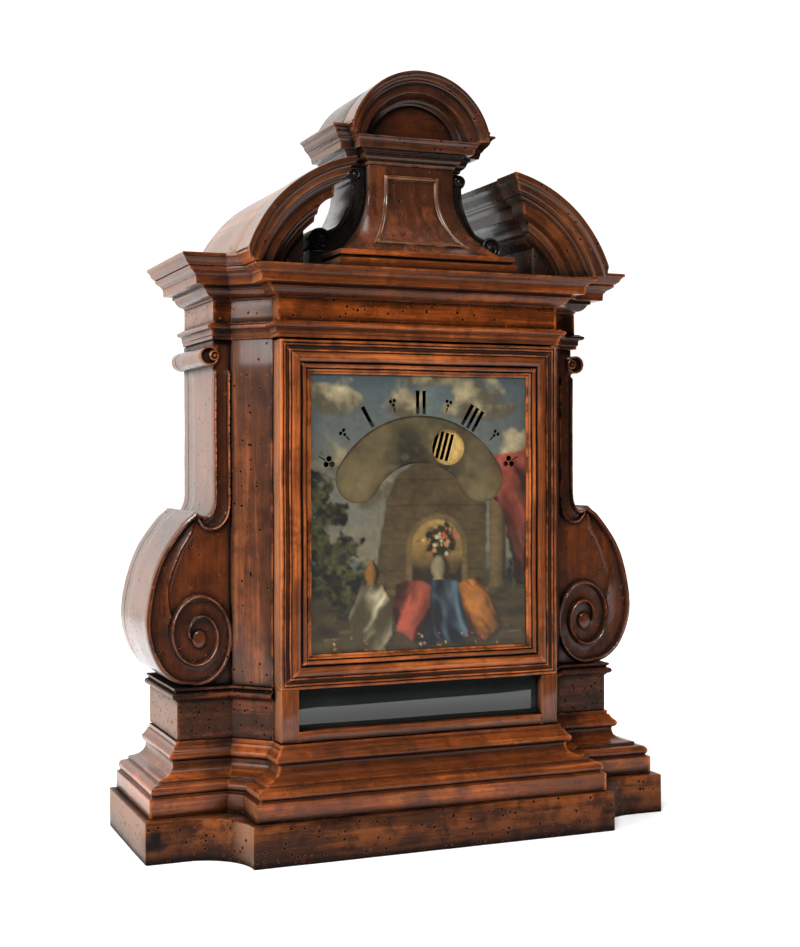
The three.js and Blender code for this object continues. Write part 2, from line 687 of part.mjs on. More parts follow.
const flare = (z) => {
  const h = Math.max(0, FLARE_TOP - z);
  const tall = FLARE_TOP - FLARE_BOTTOM;
  const radius = (tall * tall + FLARE_OUT * FLARE_OUT) / (2 * FLARE_OUT);
  return radius - Math.sqrt(radius * radius - h * h);
};

function crest() {
  const z0 = CORNICE_TOP + SEAT;
  const step = CREST_PLINTH_TOP + 4;
  const coreBack = 10;
  const toBody = NECK_FRONT - coreBack;
  add("crest_base", "walnut", join(
    box([-CREST_PLINTH_HALF, CREST_PLINTH_HALF], [CREST_REAR, CREST_PLINTH_FRONT],
      [z0, CREST_PLINTH_TOP]),
    box([-CREST_PLINTH_HALF + 5, CREST_PLINTH_HALF - 5], [CREST_REAR, CREST_PLINTH_FRONT - 5],
      [z0, step]),
    box([-CREST_PLINTH_HALF + 2, CREST_PLINTH_HALF - 2], [CREST_REAR, CREST_PLINTH_FRONT - 2],
      [step - 1, FLARE_BOTTOM - SEAT]),
    box([-SCROLL_SEAT_HALF, SCROLL_SEAT_HALF], [CREST_REAR, NECK_FRONT - coreBack],
      [z0, SCROLL_SEAT_TOP]),
    box([-NECK_HALF, NECK_HALF], [CREST_REAR, toBody - SEAT], [z0, NECK_TOP - SEAT]),
  ));

  const levels = [FLARE_BOTTOM];
  const count = 9;
  for (let i = 1; i <= count; i++)
    levels.push(FLARE_BOTTOM + ((FLARE_TOP - FLARE_BOTTOM) * i) / count);
  levels.push(NECK_TOP - SEAT);
  const sections = levels.map((z) => {
    const x = NECK_HALF + flare(z);
    const f = NECK_FRONT + flare(z);
    return [[-x, toBody, z], [-x, f, z], [x, f, z], [x, toBody, z]];
  });
  const body = capped(sections, [[0, 0], [0, 1], [1, 1], [1, 0]]);
  add("crest_body", "walnut", join(body, crestBead()));

  for (const [side, sign] of [["left", -1], ["right", 1]]) crestScroll(side, sign);
  crestCornice();
  crestArch();
}

// A raised bead round the panel on the concave front of the crest.
function crestBead() {
  const top = FLARE_TOP + 16;
  const bottom = FLARE_BOTTOM + 16;
  const topHalf = 37.5;
  const bottomHalf = topHalf + flare(bottom) * 0.83;
  const rows = 8;
  const right = Array.from({ length: rows + 1 }, (_, i) => {
    const z = top + ((bottom - top) * i) / rows;
    return [topHalf + ((bottomHalf - topHalf) * flare(z)) / flare(bottom), z];
  });
  const path = [...right, ...mirror(right)];
  const width = 4.5;
  const height = 3.6;
  const section = [[-width / 2, -1], [-width / 4, height], [width / 4, height], [width / 2, -1]];
  const sections = path.map(([x, z], i) => {
    const [mx, mz] = mitre(path, i, true);
    return section.map(([across, up]) => {
      const [px, pz] = [x + across * mx, z + across * mz];
      return [px, NECK_FRONT + flare(pz) + up, pz];
    });
  });
  const { points, faces } = loft(sections, true);
  return shell(points, faces);
}

function crestScroll(side, sign) {
  const turn = (points) => (sign > 0 ? points : mirror(points));
  const inner = NECK_HALF + SEAT;
  const rollR = 16;
  const rollX = SCROLL_SEAT_HALF - rollR - 1;
  const seat = SCROLL_SEAT_TOP;
  const rollZ = seat + SEAT + rollR;
  const eyeX = inner + 14.7;
  const eyeZ = seat + 109;
  const outline = [
    [inner, SCROLL_SEAT_TOP + SEAT],
    ...arc(rollX, rollZ, rollR, -90, 120, 10),
    ...smooth([
      [rollX - 12, seat + 29.5], [rollX - 24, seat + 36], [rollX - 36, seat + 54],
      [eyeX + 7, seat + 78], [eyeX + 5, seat + 98],
    ], 8),
    ...arc(eyeX + 1, eyeZ, 10, -60, 85, 5),
    [inner, NECK_TOP - 2],
  ];
  const eyes = [
    slab(turn(arc(rollX, rollZ, 7, 0, 330, 11)), SCROLL_FRONT - 1, SCROLL_FRONT + 3),
    slab(turn(arc(eyeX, eyeZ, 5, 0, 330, 11)), SCROLL_FRONT - 1, SCROLL_FRONT + 3),
  ];
  const body = slab(turn(outline), SCROLL_REAR, SCROLL_FRONT);
  add(`crest_scroll_${side}`, "darkWalnut", join(body, ...eyes));
}

const crestPlan = (() => {
  const left = [
    [-CREST_WING_HALF, CREST_REAR],
    [-CREST_WING_HALF, CREST_WING_FRONT],
    [-NECK_HALF, CREST_WING_FRONT],
    [-NECK_HALF, NECK_FRONT],
  ];
  return [...left, ...mirror(left)];
})();

function crestCornice() {
  const c = NECK_TOP;
  const t = CREST_CORNICE_TOP;
  const profile = [
    [-8, c], [1, c], [2, c + 4], ...smooth([[4, c + 5], [8, c + 9], [10, c + 16]], 3),
    [13, c + 17], [13, c + 19], [22, c + 19], [24, c + 28], [26, c + 29],
    ...smooth([[26, c + 30], [28, c + 33], [30, c + 34]], 2), [30, t], [-8, t],
  ];
  const crown = [
    [CREST_CROWN_BACK, t - 0.5], [31, t - 0.5],
    ...smooth([[31.5, t + 1], [34, t + 4], [35, t + 8], [38, t + 11]], 4),
    [CREST_CROWN_OUT, t + 11.5], [CREST_CROWN_OUT, CREST_CROWN_TOP],
    [CREST_CROWN_BACK, CREST_CROWN_TOP],
  ];
  const fill = box([-CREST_WING_HALF, CREST_WING_HALF], [CREST_REAR, CREST_WING_FRONT], [c, t]);
  const fillFront = box([-NECK_HALF, NECK_HALF], [CREST_WING_FRONT - 1, NECK_FRONT], [c, t]);
  add("crest_cornice", "walnut", join(
    moulding(profile, crestPlan), fill, fillFront,
    moulding(crown, crestPlan, 0, 3), moulding(crown, crestPlan, 4, 7),
  ));
}

function crestArch() {
  const front = NECK_FRONT + CREST_CROWN_OUT;
  const out = CREST_CROWN_OUT;
  const profile = [
    [0, 0], [4, 0.5], ...smooth([[5, 2], [8, 3.5], [11, 4.5], [13, 8]], 3), [14.5, 9],
    [14.5, 13], [16, 13.5], [28, 15], [29, 20], [30, 24],
    ...smooth([[31, 25], [34, 31], [40, 34]], 3), [41, 36], [41, out], [0, out],
  ];
  const steps = 16;
  const foot = 4;
  const sections = Array.from({ length: steps + 1 }, (_, i) => {
    const a = rad(foot + ((180 - 2 * foot) * i) / steps);
    return profile.map(([t, d]) => [
      (ARCH_RADIUS - t) * Math.cos(a), front - d, ARCH_CENTRE_Z + (ARCH_RADIUS - t) * Math.sin(a),
    ]);
  });
  const lean = NECK_FRONT - NECK_HALF + 0.45;
  const inside = NECK_HALF + CREST_CROWN_BACK - SEAT;
  const wide = ARCH_RADIUS + CREST_CROWN_OUT;
  const crownSpace = [[inside, 0], [inside, inside + lean], [wide, wide + lean], [wide, 0]];
  const crownTop = CREST_CROWN_TOP + SEAT;
  const t = CREST_CORNICE_TOP;
  add("crest_arch", "walnut", cut(
    capped(sections, profile),
    box([-wide, wide], [0, DEPTH], [NECK_TOP, t + SEAT]),
    board(crownSpace, t - 1, crownTop),
    board(mirror(crownSpace), t - 1, crownTop),
  ));
  const wing = CREST_WING_HALF + CREST_CROWN_BACK - SEAT;
  const footAngle = (Math.asin((crownTop - ARCH_CENTRE_Z) / ARCH_RADIUS) * 180) / Math.PI;
  const vault = [
    [-wing, t + SEAT], [wing, t + SEAT], [wing, crownTop],
    ...arc(0, ARCH_CENTRE_Z, ARCH_RADIUS, footAngle, 180 - footAngle, 20), [-wing, crownTop],
  ];
  const step = CREST_WING_FRONT + CREST_CROWN_BACK - SEAT;
  const notch = [[inside, step], [inside, DEPTH], [wide, DEPTH], [wide, step]];
  add("crest_vault", "paleWalnut", cut(
    slab(vault, CREST_REAR, NECK_FRONT - SEAT),
    board(notch, t - 1, crownTop),
    board(mirror(notch), t - 1, crownTop),
  ));
}

// One length of the picture-frame moulding: left, right, top or bottom, mitred at both ends.
function frameLength(name, profile, place) {
  const g = SEAT / 2;
  const [h, low] = [DOOR_HALF, PICTURE_BOTTOM];
  const ends = {
    left: [(w) => [w - h, low + w + g], (w) => [w - h, DOOR_TOP - w - g]],
    right: [(w) => [h - w, low + w + g], (w) => [h - w, DOOR_TOP - w - g]],
    top: [(w) => [w + g - h, DOOR_TOP - w], (w) => [h - w - g, DOOR_TOP - w]],
    bottom: [(w) => [w + g - h, low + w], (w) => [h - w - g, low + w]],
  }[place];
  const sections = ends.map((end) =>
    profile.map(([w, f]) => {
      const [x, z] = end(w);
      return [x, f, z];
    }),
  );
  return add(name, "walnut", capped(sections, profile));
}

function door() {
  const inner = DOOR_HALF - STILE;
  const depth = [DOOR_BACK, STILE_FRONT];
  const holes = [
    doorPin(DOOR_BOTTOM - 1, DOOR_BOTTOM + PIN_SUNK + SEAT, PIN + SEAT),
    doorPin(DOOR_TOP - PIN_SUNK - SEAT, DOOR_TOP + 1, PIN + SEAT),
  ];
  const facing = PICTURE_BOTTOM - SEAT;
  for (const [side, sign] of [["left", -1], ["right", 1]]) {
    const x = [sign * inner, sign * DOOR_HALF].sort((a, b) => a - b);
    const stile = join(
      box(x, depth, [DOOR_BOTTOM, DOOR_TOP]),
      box(x, [STILE_FRONT - 1, DOOR_FRONT], [DOOR_BOTTOM, facing]),
    );
    add(`door_stile_${side}`, "walnut", sign > 0 ? cut(stile, ...holes) : stile);
  }
  const across = [SEAT - inner, inner - SEAT];
  const dial = [PICTURE_BOTTOM + STILE * 0.6, DOOR_TOP - STILE];
  add("door_rail_top", "walnut", box(across, depth, [dial[1] + SEAT, DOOR_TOP]));
  add("door_rail_middle", "walnut", box(across, depth, [PICTURE_BOTTOM, dial[0] - SEAT]));
  add("door_rail_bottom", "walnut",
    box(across, [DOOR_BACK, DOOR_FRONT], [DOOR_BOTTOM, DOOR_BOTTOM + BOTTOM_RAIL]));
  add("lower_glass", "glass", box(across, [GLASS_FRONT - GLASS, GLASS_FRONT],
    [DOOR_BOTTOM + BOTTOM_RAIL + SEAT, facing]));

  const b = STILE_FRONT + SEAT;
  const w = PICTURE_WIDTH;
  const f = DOOR_FRONT;
  const profile = [
    [0, b], [0, f - 1.5], [1.5, f], [4, f], [5.5, f - 2], [7, f - 4], [13, f - 5], [14, f - 3],
    ...smooth([[15, f - 2.5], [20, f], [26, f - 0.5], [30, f - 3]], 5),
    [31, f - 4.5], [33, f - 3], [37, f - 2], [40, f - 4], [41, f - 6.5], [w, f - 7.5], [w, b],
  ];
  for (const place of ["left", "right", "top", "bottom"])
    frameLength(`picture_frame_${place}`, profile, place);
  for (const [place, z0, z1] of [
    ["bottom", BASE_TOP - PIN_SUNK + SEAT, DOOR_BOTTOM + PIN_SUNK],
    ["top", DOOR_TOP - PIN_SUNK, ARCHITRAVE_BOTTOM + PIN_SUNK - SEAT],
  ])
    add(`door_pin_${place}`, "iron", doorPin(z0, z1, PIN));

  const plate = new THREE.Shape([
    [across[0], dial[0]], [across[1], dial[0]], [across[1], dial[1]], [across[0], dial[1]],
  ].map(([x, z]) => new THREE.Vector2(x, z)));
  plate.holes.push(new THREE.Path(windowOutline().map(([x, z]) => new THREE.Vector2(x, z))));
  add("dial_plate", "paint", slab(plate, STILE_FRONT - SEAT - DIAL_PLATE, STILE_FRONT - SEAT));
}

// The kidney-shaped opening of the dial, through which the hours pass.
function windowOutline() {
  const middle = (WINDOW_INNER + WINDOW_OUTER) / 2;
  const half = (WINDOW_OUTER - WINDOW_INNER) / 2;
  const z = DIAL_CENTRE_Z;
  const lobe = (degrees, from, to) => {
    const a = rad(degrees);
    return arc(middle * Math.cos(a), z + middle * Math.sin(a), half, from, to, 8);
  };
  const right = 90 - WINDOW_SPREAD;
  const left = 90 + WINDOW_SPREAD;
  return [
    ...arc(0, z, WINDOW_OUTER, right, left, 16),
    ...lobe(left, left, left + 180).slice(1),
    ...arc(0, z, WINDOW_INNER, left, right, 12).slice(1),
    ...lobe(right, right - 180, right).slice(1, -1),
  ];
}

// Outline of a toothed wheel: one tip and one root to a tooth, thin enough to run free.
function toothed(teeth, module, phase, depth = 0.55) {
  const r = (teeth * module) / 2;
  return Array.from({ length: teeth * 2 }, (_, i) => {
    const radius = i % 2 ? r - 0.9 * module : r + depth * module;
    const a = phase + (Math.PI * i) / teeth;
    return [radius * Math.cos(a), radius * Math.sin(a)];
  });
}

const wheel = (x, z, outline, from, to) =>
  slab(outline.map(([a, b]) => [x + a, z + b]), from, to);

const spindle = (x, z, profile, segments = 8) =>
  turned(profile, segments).translate(x, 0, z);

const centre = { x: 0, z: DIAL_CENTRE_Z };
const beside = (from, distance, degrees) => ({
  x: from.x + distance * Math.cos(rad(degrees)),
  z: from.z + distance * Math.sin(rad(degrees)),
});
const barrelAt = beside(centre, ((BARREL_TEETH + CENTRE_PINION) * MODULE_BARREL) / 2, 216.87);
const secondAt = beside(centre, ((CENTRE_TEETH + SECOND_PINION) * MODULE_CENTRE) / 2, 20);
const thirdAt = beside(secondAt, ((SECOND_TEETH + THIRD_PINION) * MODULE_SECOND) / 2, 100);
const escapeAt = beside(thirdAt, ((THIRD_TEETH + ESCAPE_PINION) * MODULE_THIRD) / 2, 160);
const anchorAt = beside(escapeAt, ESCAPE_RADIUS * 1.4, 90);

// Phase that puts a root of one wheel opposite a tip of the other, along the line of centres.
const facingPhase = (from, to, teeth, root) =>
  Math.atan2(to.z - from.z, to.x - from.x) + (root ? Math.PI / teeth : 0);

function movement() {
  const backFront = FRONT_PLATE - PLATE_SPACE;
  const back = [backFront - PLATE, backFront];
  const front = [FRONT_PLATE, FRONT_PLATE + PLATE];
  const c = DIAL_CENTRE_Z;
  const outline = [
    [-82, c - 73], [55, c - 73], [55, c + 41], [30, c + 69], [-20, c + 69], [-82, c + 15],
  ];
  const pillars = [[-75, c - 66], [48, c - 66], [48, c + 33], [-70, c + 10]];
  const pivot = ARBOR / 2;
  const hole = (at, radius, depth, segments = 8) =>
    turned([[0, depth[0] - 1], [radius, depth[0] - 1], [radius, depth[1] + 1], [0, depth[1] + 1]],
      segments).translate(at.x, 0, at.z);
  const pivots = [barrelAt, secondAt, thirdAt, escapeAt, anchorAt];
  const arm = 12;
  const reach = DOOR_HALF - STILE + 9;
  const arms = [c - 61, c + 5].map((low) => box([-reach, reach], front, [low, low + arm]));
  add("front_plate", "brass", cut(
    join(slab(outline, ...front), ...arms),
    ...pivots.map((at) => hole(at, pivot + RUN, front)),
    hole(centre, HUB + RUN, front, 16),
  ));
  const posts = pillars.map(([px, pz]) =>
    spindle(px, pz, [
      [0, backFront - 1], [3, backFront - 1], [3, backFront + 4], [2.2, backFront + 6],
      [2.2, FRONT_PLATE - 6], [3, FRONT_PLATE - 4], [3, FRONT_PLATE - SEAT], [0, FRONT_PLATE - SEAT],
    ], 6));
  add("back_plate", "brass", cut(
    join(slab(outline, ...back), ...posts),
    ...[centre, ...pivots].map((at) => hole(at, pivot + RUN, back)),
  ));

  const inside = back[1] + RUN;
  const arbor = [
    [0, back[0]], [pivot, back[0]], [pivot, inside], [ARBOR, inside],
    [ARBOR, front[0] - RUN], [pivot, front[0] - RUN], [pivot, front[1]], [0, front[1]],
  ];
  const layer = (at, thick) => [at - thick / 2, at + thick / 2];
  const gear = (at, teeth, module, depth, meshes, tip) =>
    wheel(at.x, at.z, toothed(teeth, module, facingPhase(at, meshes, teeth, !tip)), ...depth);

  const great = [back[1] + 2, back[1] + 5];
  const drumFront = front[0] - 8;
  add("barrel", "brass", join(
    spindle(barrelAt.x, barrelAt.z, [
      [0, back[0] - 1], [pivot, back[0] - 1], [pivot, inside], [4, inside],
      [4, great[0] + 1], [34, great[0] + 1], [34, drumFront], [4, drumFront],
      [4, front[0] - RUN], [pivot, front[0] - RUN], [pivot, front[1]], [0, front[1]],
    ], 16),
    gear(barrelAt, BARREL_TEETH, MODULE_BARREL, great, centre, false),
    box([-2, 2], [back[0] - 12, back[0] - RUN], [-2, 2]).translate(barrelAt.x, 0, barrelAt.z),
  ));

  const centreLayer = front[0] - 6.5;
  const secondLayer = centreLayer - 8;
  const thirdLayer = secondLayer - 8;
  const escapeLayer = thirdLayer - 8;
  const hubBack = front[0] - 3;
  add("centre_arbor", "brass", join(
    spindle(centre.x, centre.z, [
      [0, back[0]], [pivot, back[0]], [pivot, inside], [ARBOR, inside],
      [ARBOR, hubBack], [HUB, hubBack], [HUB, CARRIER_BACK - SEAT], [0, CARRIER_BACK - SEAT],
    ]),
    gear(centre, CENTRE_PINION, MODULE_BARREL, [back[1] + 0.8, great[1] + 1.2], barrelAt, true),
    gear(centre, CENTRE_TEETH, MODULE_CENTRE, layer(centreLayer, 2), secondAt, true),
  ));
  add("second_wheel", "brass", join(
    spindle(secondAt.x, secondAt.z, arbor),
    gear(secondAt, SECOND_PINION, MODULE_CENTRE, layer(centreLayer, 5), centre, false),
    gear(secondAt, SECOND_TEETH, MODULE_SECOND, layer(secondLayer, 1.6), thirdAt, true),
  ));
  add("third_wheel", "brass", join(
    spindle(thirdAt.x, thirdAt.z, arbor),
    gear(thirdAt, THIRD_PINION, MODULE_SECOND, layer(secondLayer, 4), secondAt, false),
    gear(thirdAt, THIRD_TEETH, MODULE_THIRD, layer(thirdLayer, 1.6), escapeAt, true),
  ));
  const escapeTeeth = Array.from({ length: ESCAPE_TEETH * 2 }, (_, i) => {
    const r = i % 2 ? ESCAPE_RADIUS - 3 : ESCAPE_RADIUS;
    const a = (Math.PI * (i + (i % 2 ? 0.5 : 0))) / ESCAPE_TEETH;
    return [r * Math.cos(a), r * Math.sin(a)];
  });
  add("escape_wheel", "brass", join(
    spindle(escapeAt.x, escapeAt.z, arbor),
    gear(escapeAt, ESCAPE_PINION, MODULE_THIRD, layer(thirdLayer, 4), thirdAt, false),
    wheel(escapeAt.x, escapeAt.z, escapeTeeth, ...layer(escapeLayer, 1.4)),
  ));

  const swing = 1.2; // how far a pallet comes in as the pendulum swings
  const pallet = ESCAPE_RADIUS + swing + 0.6;
  const away = rad(46);
  const tip = (sign, r) => [
    escapeAt.x + sign * r * Math.sin(away),
    escapeAt.z + r * Math.cos(away),
  ];
  const claw = (sign) => [
    tip(sign, pallet), tip(sign, pallet + 4),
    [anchorAt.x, anchorAt.z + 4], [anchorAt.x, anchorAt.z - 1],
  ];
  const anchor = [-1, 1].map((sign) => slab(claw(sign), ...layer(escapeLayer, 3)));
  const rod = back[0] - 6;
  const low = anchorAt.z - PENDULUM_LENGTH;
  const bob = spindle(anchorAt.x, low, [
    [0, rod - 4], [BOB_RADIUS * 0.7, rod - 3.4], [BOB_RADIUS, rod],
    [BOB_RADIUS * 0.7, rod + 3.4], [0, rod + 4],
  ], 16);
  add("pendulum", "brass", join(
    spindle(anchorAt.x, anchorAt.z, [[0, rod - 2], [pivot, rod - 2], ...arbor.slice(2)]),
    ...anchor,
    box([anchorAt.x - 1, anchorAt.x + 1], [rod - 1, rod + 1], [low, anchorAt.z + 2]),
    bob,
  ));
}

const DIAL_BACK = STILE_FRONT - SEAT - DIAL_PLATE;
const CARRIER_BACK = DIAL_BACK - 1.3 - CARRIER_PLATE;

// The painted disc that carries the hours across the dial, and the hour discs hung behind it.
function carrier() {
  const z = DIAL_CENTRE_Z;
  const back = CARRIER_BACK;
  const places = Array.from({ length: HOURS_SHOWN }, (_, k) => {
    const a = rad(90 - FIRST_HOUR_ANGLE - (360 * k) / HOURS_SHOWN);
    return [Math.cos(a), Math.sin(a)];
  });
  const disc = shapeOf(arc(0, z, CARRIER_RADIUS, 0, 352.5, 47));
  for (const [c, s] of places) {
    const ring = arc(HOUR_RADIUS * c, z + HOUR_RADIUS * s, APERTURE_RADIUS, 0, 340, 17);
    disc.holes.push(new THREE.Path(ring.map(([x, y]) => new THREE.Vector2(x, y))));
  }
  const plane = (k) => back - 3 - HOUR_DISC_STEP * k;
  const stubs = places.map(([c, s], k) =>
    spindle(HOUR_DISC_AXIS * c, z + HOUR_DISC_AXIS * s, [
      [0, plane(k) - 3.2], [HOUR_STUB + 1.5, plane(k) - 3.2], [HOUR_STUB + 1.5, plane(k) - 1.2],
      [HOUR_STUB, plane(k) - 1.2], [HOUR_STUB, back + 0.5], [0, back + 0.5],
    ], 6));
  add("hour_carrier", "paint", join(slab(disc, back, back + CARRIER_PLATE), ...stubs));
  places.forEach(([c, s], k) => {
    const plate = shapeOf(arc(HOUR_DISC_AXIS * c, z + HOUR_DISC_AXIS * s, HOUR_DISC_RADIUS, 0, 345, 23));
    const hole = arc(HOUR_DISC_AXIS * c, z + HOUR_DISC_AXIS * s, HOUR_STUB + RUN, 0, 315, 7);
    plate.holes.push(new THREE.Path(hole.map(([x, y]) => new THREE.Vector2(x, y))));
    add(`hour_disc_${k + 1}`, "enamel", slab(plate, plane(k) - 0.8, plane(k) + 0.2));
  });
}

// The back of the case, the shelf and the lamp that lights the hours.
function lightRoom() {
  const half = REAR_DOOR_THICK / 2;
  const x = half - REAR_DOOR_HALF;
  const f = REAR_RECESS + half;
  const edge = Array.from({ length: 9 }, (_, i) => {
    const a = rad(90 + (180 * i) / 8);
    return [x + half * Math.cos(a), f + half * Math.sin(a)];
  });
  const plan = [...edge, [REAR_DOOR_HALF, REAR_RECESS], [REAR_DOOR_HALF, REAR_RECESS + REAR_DOOR_THICK]];
  add("rear_door", "paleWalnut", join(
    board(plan, REAR_DOOR_BOTTOM, REAR_DOOR_TOP),
    rearPivot(REAR_DOOR_BOTTOM - DOOR_GAP - REAR_PIN_LONG + SEAT, REAR_DOOR_BOTTOM + 1, REAR_PIN),
    rearPivot(REAR_DOOR_TOP - 1, REAR_DOOR_TOP + DOOR_GAP + REAR_PIN_LONG - SEAT, REAR_PIN),
  ));
  const shelfBack = REAR_RECESS + BACK_BOARD + SEAT;
  const wall = CANT_START - BOARD - SEAT;
  add("lamp_shelf", "paleWalnut",
    box([-wall, wall], [shelfBack, shelfBack + SHELF_DEPTH], [SHELF_TOP - THIN_BOARD, SHELF_TOP]));
  const s = SHELF_TOP + SEAT;
  const r = LAMP_RADIUS;
  add("lamp", "brass", new THREE.LatheGeometry([
    [0, s], [r * 0.8, s], [r * 0.85, s + 3], [r * 0.35, s + 8], [r * 0.3, s + 16],
    [r * 0.9, s + 24], [r, s + 33], [r * 0.9, s + 42], [r * 0.35, s + 48], [r * 0.25, s + 56],
    [r * 0.3, s + 60], [5, s + 62], [4, s + 74], [2.5, s + 75], [2.5, s + 80], [0, s + 80],
  ].map(([a, b]) => new THREE.Vector2(a, b)), 14).rotateX(Math.PI / 2).translate(0, -LAMP_FORWARD, 0));
}

entablature();
plinth();
baseMoulding();
cases();
for (const [side, sign] of [["left", -1], ["right", 1]]) pediment(side, sign);
crest();
door();
carrier();
movement();
lightRoom();

export default clock;
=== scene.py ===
import math

import bpy
import numpy as np
from mathutils.geometry import delaunay_2d_cdt
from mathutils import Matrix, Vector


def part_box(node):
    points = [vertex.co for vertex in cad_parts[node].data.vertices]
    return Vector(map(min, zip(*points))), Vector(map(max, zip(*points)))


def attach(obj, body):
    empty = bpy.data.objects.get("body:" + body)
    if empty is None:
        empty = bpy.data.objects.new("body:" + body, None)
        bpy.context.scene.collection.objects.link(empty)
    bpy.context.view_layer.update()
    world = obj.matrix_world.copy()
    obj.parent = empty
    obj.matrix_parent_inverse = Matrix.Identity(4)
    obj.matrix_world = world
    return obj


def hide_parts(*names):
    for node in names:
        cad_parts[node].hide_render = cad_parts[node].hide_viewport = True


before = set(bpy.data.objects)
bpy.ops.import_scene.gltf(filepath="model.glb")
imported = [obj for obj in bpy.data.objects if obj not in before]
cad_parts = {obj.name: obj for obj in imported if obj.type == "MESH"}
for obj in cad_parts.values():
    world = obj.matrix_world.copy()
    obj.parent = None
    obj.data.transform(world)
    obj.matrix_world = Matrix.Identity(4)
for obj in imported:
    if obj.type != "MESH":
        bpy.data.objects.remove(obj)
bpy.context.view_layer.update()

# The room: a pale floor that the clock stands on, a white backdrop all round, a soft broad light in
# front on the left, and weaker ones at the left side and above. The camera stands at dial height.
scene = bpy.context.scene
scene.view_settings.view_transform = "Standard"
camera = bpy.data.objects.new("camera", bpy.data.cameras.new("camera"))
camera.data.lens = 56.85
camera.data.sensor_width = 36
camera.location = (-0.8174, -1.9898, 0.5269)
camera.rotation_euler = (math.radians(89.437), math.radians(0.11), math.radians(-22.35))
scene.collection.objects.link(camera)
scene.camera = camera


def light(name, place, aim, size, power):
    area = bpy.data.lights.new(name, "AREA")
    area.shape = "RECTANGLE"
    area.size, area.size_y = size
    area.energy = power
    holder = bpy.data.objects.new(name, area)
    holder.location = place
    away = [p - a for p, a in zip(place, aim)]
    holder.rotation_euler = (math.atan2(math.hypot(*away[:2]), away[2]), 0,
                             math.atan2(away[0], -away[1]))
    scene.collection.objects.link(holder)


light("window", (-2.3, -1.0, 1.6), (0, 0, 0.5), (1.0, 1.4), 54)
light("front", (-1.3, -2.4, 2.6), (0, 0, 0.4), (1.1, 0.9), 112)
light("top", (-0.2, -0.6, 2.9), (0, 0, 0.5), (1.4, 1.0), 26)


class Wire:
    """A socket in a material or the world. Sums of wires and numbers add Math nodes."""

    def __init__(self, tree, socket=None):
        self.tree, self.socket = tree, socket

    def node(self, kind, settings=None, sockets=None, out=0):
        """One of a new node's outputs. Its settings are made first, then its sockets."""
        made = self.tree.nodes.new(kind)
        for name, value in (settings or {}).items():
            setattr(made, name, value)
        for name, value in (sockets or {}).items():
            if isinstance(value, Wire):
                self.tree.links.new(value.socket, made.inputs[name])
            else:
                made.inputs[name].default_value = value
        return Wire(self.tree, made.outputs[out])

    def math(self, operation, *values):
        return self.node("ShaderNodeMath", {"operation": operation}, dict(enumerate((self, *values))))

    def __add__(self, other):
        return self.math("ADD", other)

    def __mul__(self, other):
        return self.math("MULTIPLY", other)

    def __sub__(self, other):
        return self.math("SUBTRACT", other)

    def __rsub__(self, other):
        return self.node("ShaderNodeMath", {"operation": "SUBTRACT"}, {0: other, 1: self})

    __radd__, __rmul__ = __add__, __mul__

    def over(self, low, high):
        """0 below low, 1 above high, and smooth between."""
        return self.node("ShaderNodeMapRange", {"interpolation_type": "SMOOTHSTEP"},
                         {"Value": self, "From Min": low, "From Max": high})

    def mix(self, start, end):
        """The colour start where this is 0, and end where it is 1."""
        start, end = (v if isinstance(v, Wire) else (*v, 1) for v in (start, end))
        return self.node("ShaderNodeMix", {"data_type": "RGBA"}, {0: self, 6: start, 7: end}, out=2)

    def stretch(self, x, y, z):
        return self.node("ShaderNodeVectorMath", {"operation": "MULTIPLY"}, {0: self, 1: (x, y, z)})

    def towards(self, way):
        """How far a vector points one way."""
        return self.node("ShaderNodeVectorMath", {"operation": "DOT_PRODUCT"}, {0: self, 1: way}, out=1)

    def distance(self, point):
        return self.node("ShaderNodeVectorMath", {"operation": "DISTANCE"}, {0: self, 1: point}, out=1)

    def noise(self, scale, detail=3.0, roughness=0.55, warp=0.0):
        return self.node("ShaderNodeTexNoise", None, {
            "Vector": self, "Scale": scale, "Detail": detail, "Roughness": roughness, "Distortion": warp})

    def relief(self, strength, depth):
        """The normal of a surface that this raises, by a depth in metres."""
        return self.node("ShaderNodeBump", None, {"Height": self, "Strength": strength, "Distance": depth})


def blank(name):
    """A new material, the place on the object as a wire, and its shader's sockets."""
    made = bpy.data.materials.new(name)
    made.use_nodes = True
    place = Wire(made.node_tree).node("ShaderNodeTexCoord", out=3)
    return made, place, made.node_tree.nodes["Principled BSDF"].inputs


def plug(inputs, **values):
    """Sets or links the shader's sockets, named with _ for a space."""
    for name, value in values.items():
        target = inputs[name.replace("_", " ")]
        if isinstance(value, Wire):
            value.tree.links.new(value.socket, target)
        else:
            target.default_value = (*value, 1) if isinstance(value, tuple) else value


room = bpy.data.worlds.new("room")
scene.world = room
room.use_nodes = True
sky = Wire(room.node_tree)
outlook = sky.node("ShaderNodeTexCoord")
beyond, leftward = outlook.towards((0, 1, 0)), outlook.towards((-1, 0, 0))
background = room.node_tree.nodes["Background"].inputs
background["Color"].default_value = (1, 0.985, 0.96, 1)
strength = beyond.over(-0.05, 0.5) * 1.1 + leftward.over(0.55, 0.98) * 0.16 + 0.05
backdrop = sky.node("ShaderNodeLightPath")
room.node_tree.links.new(strength.math("MAXIMUM", backdrop * 1.1).socket, background["Strength"])

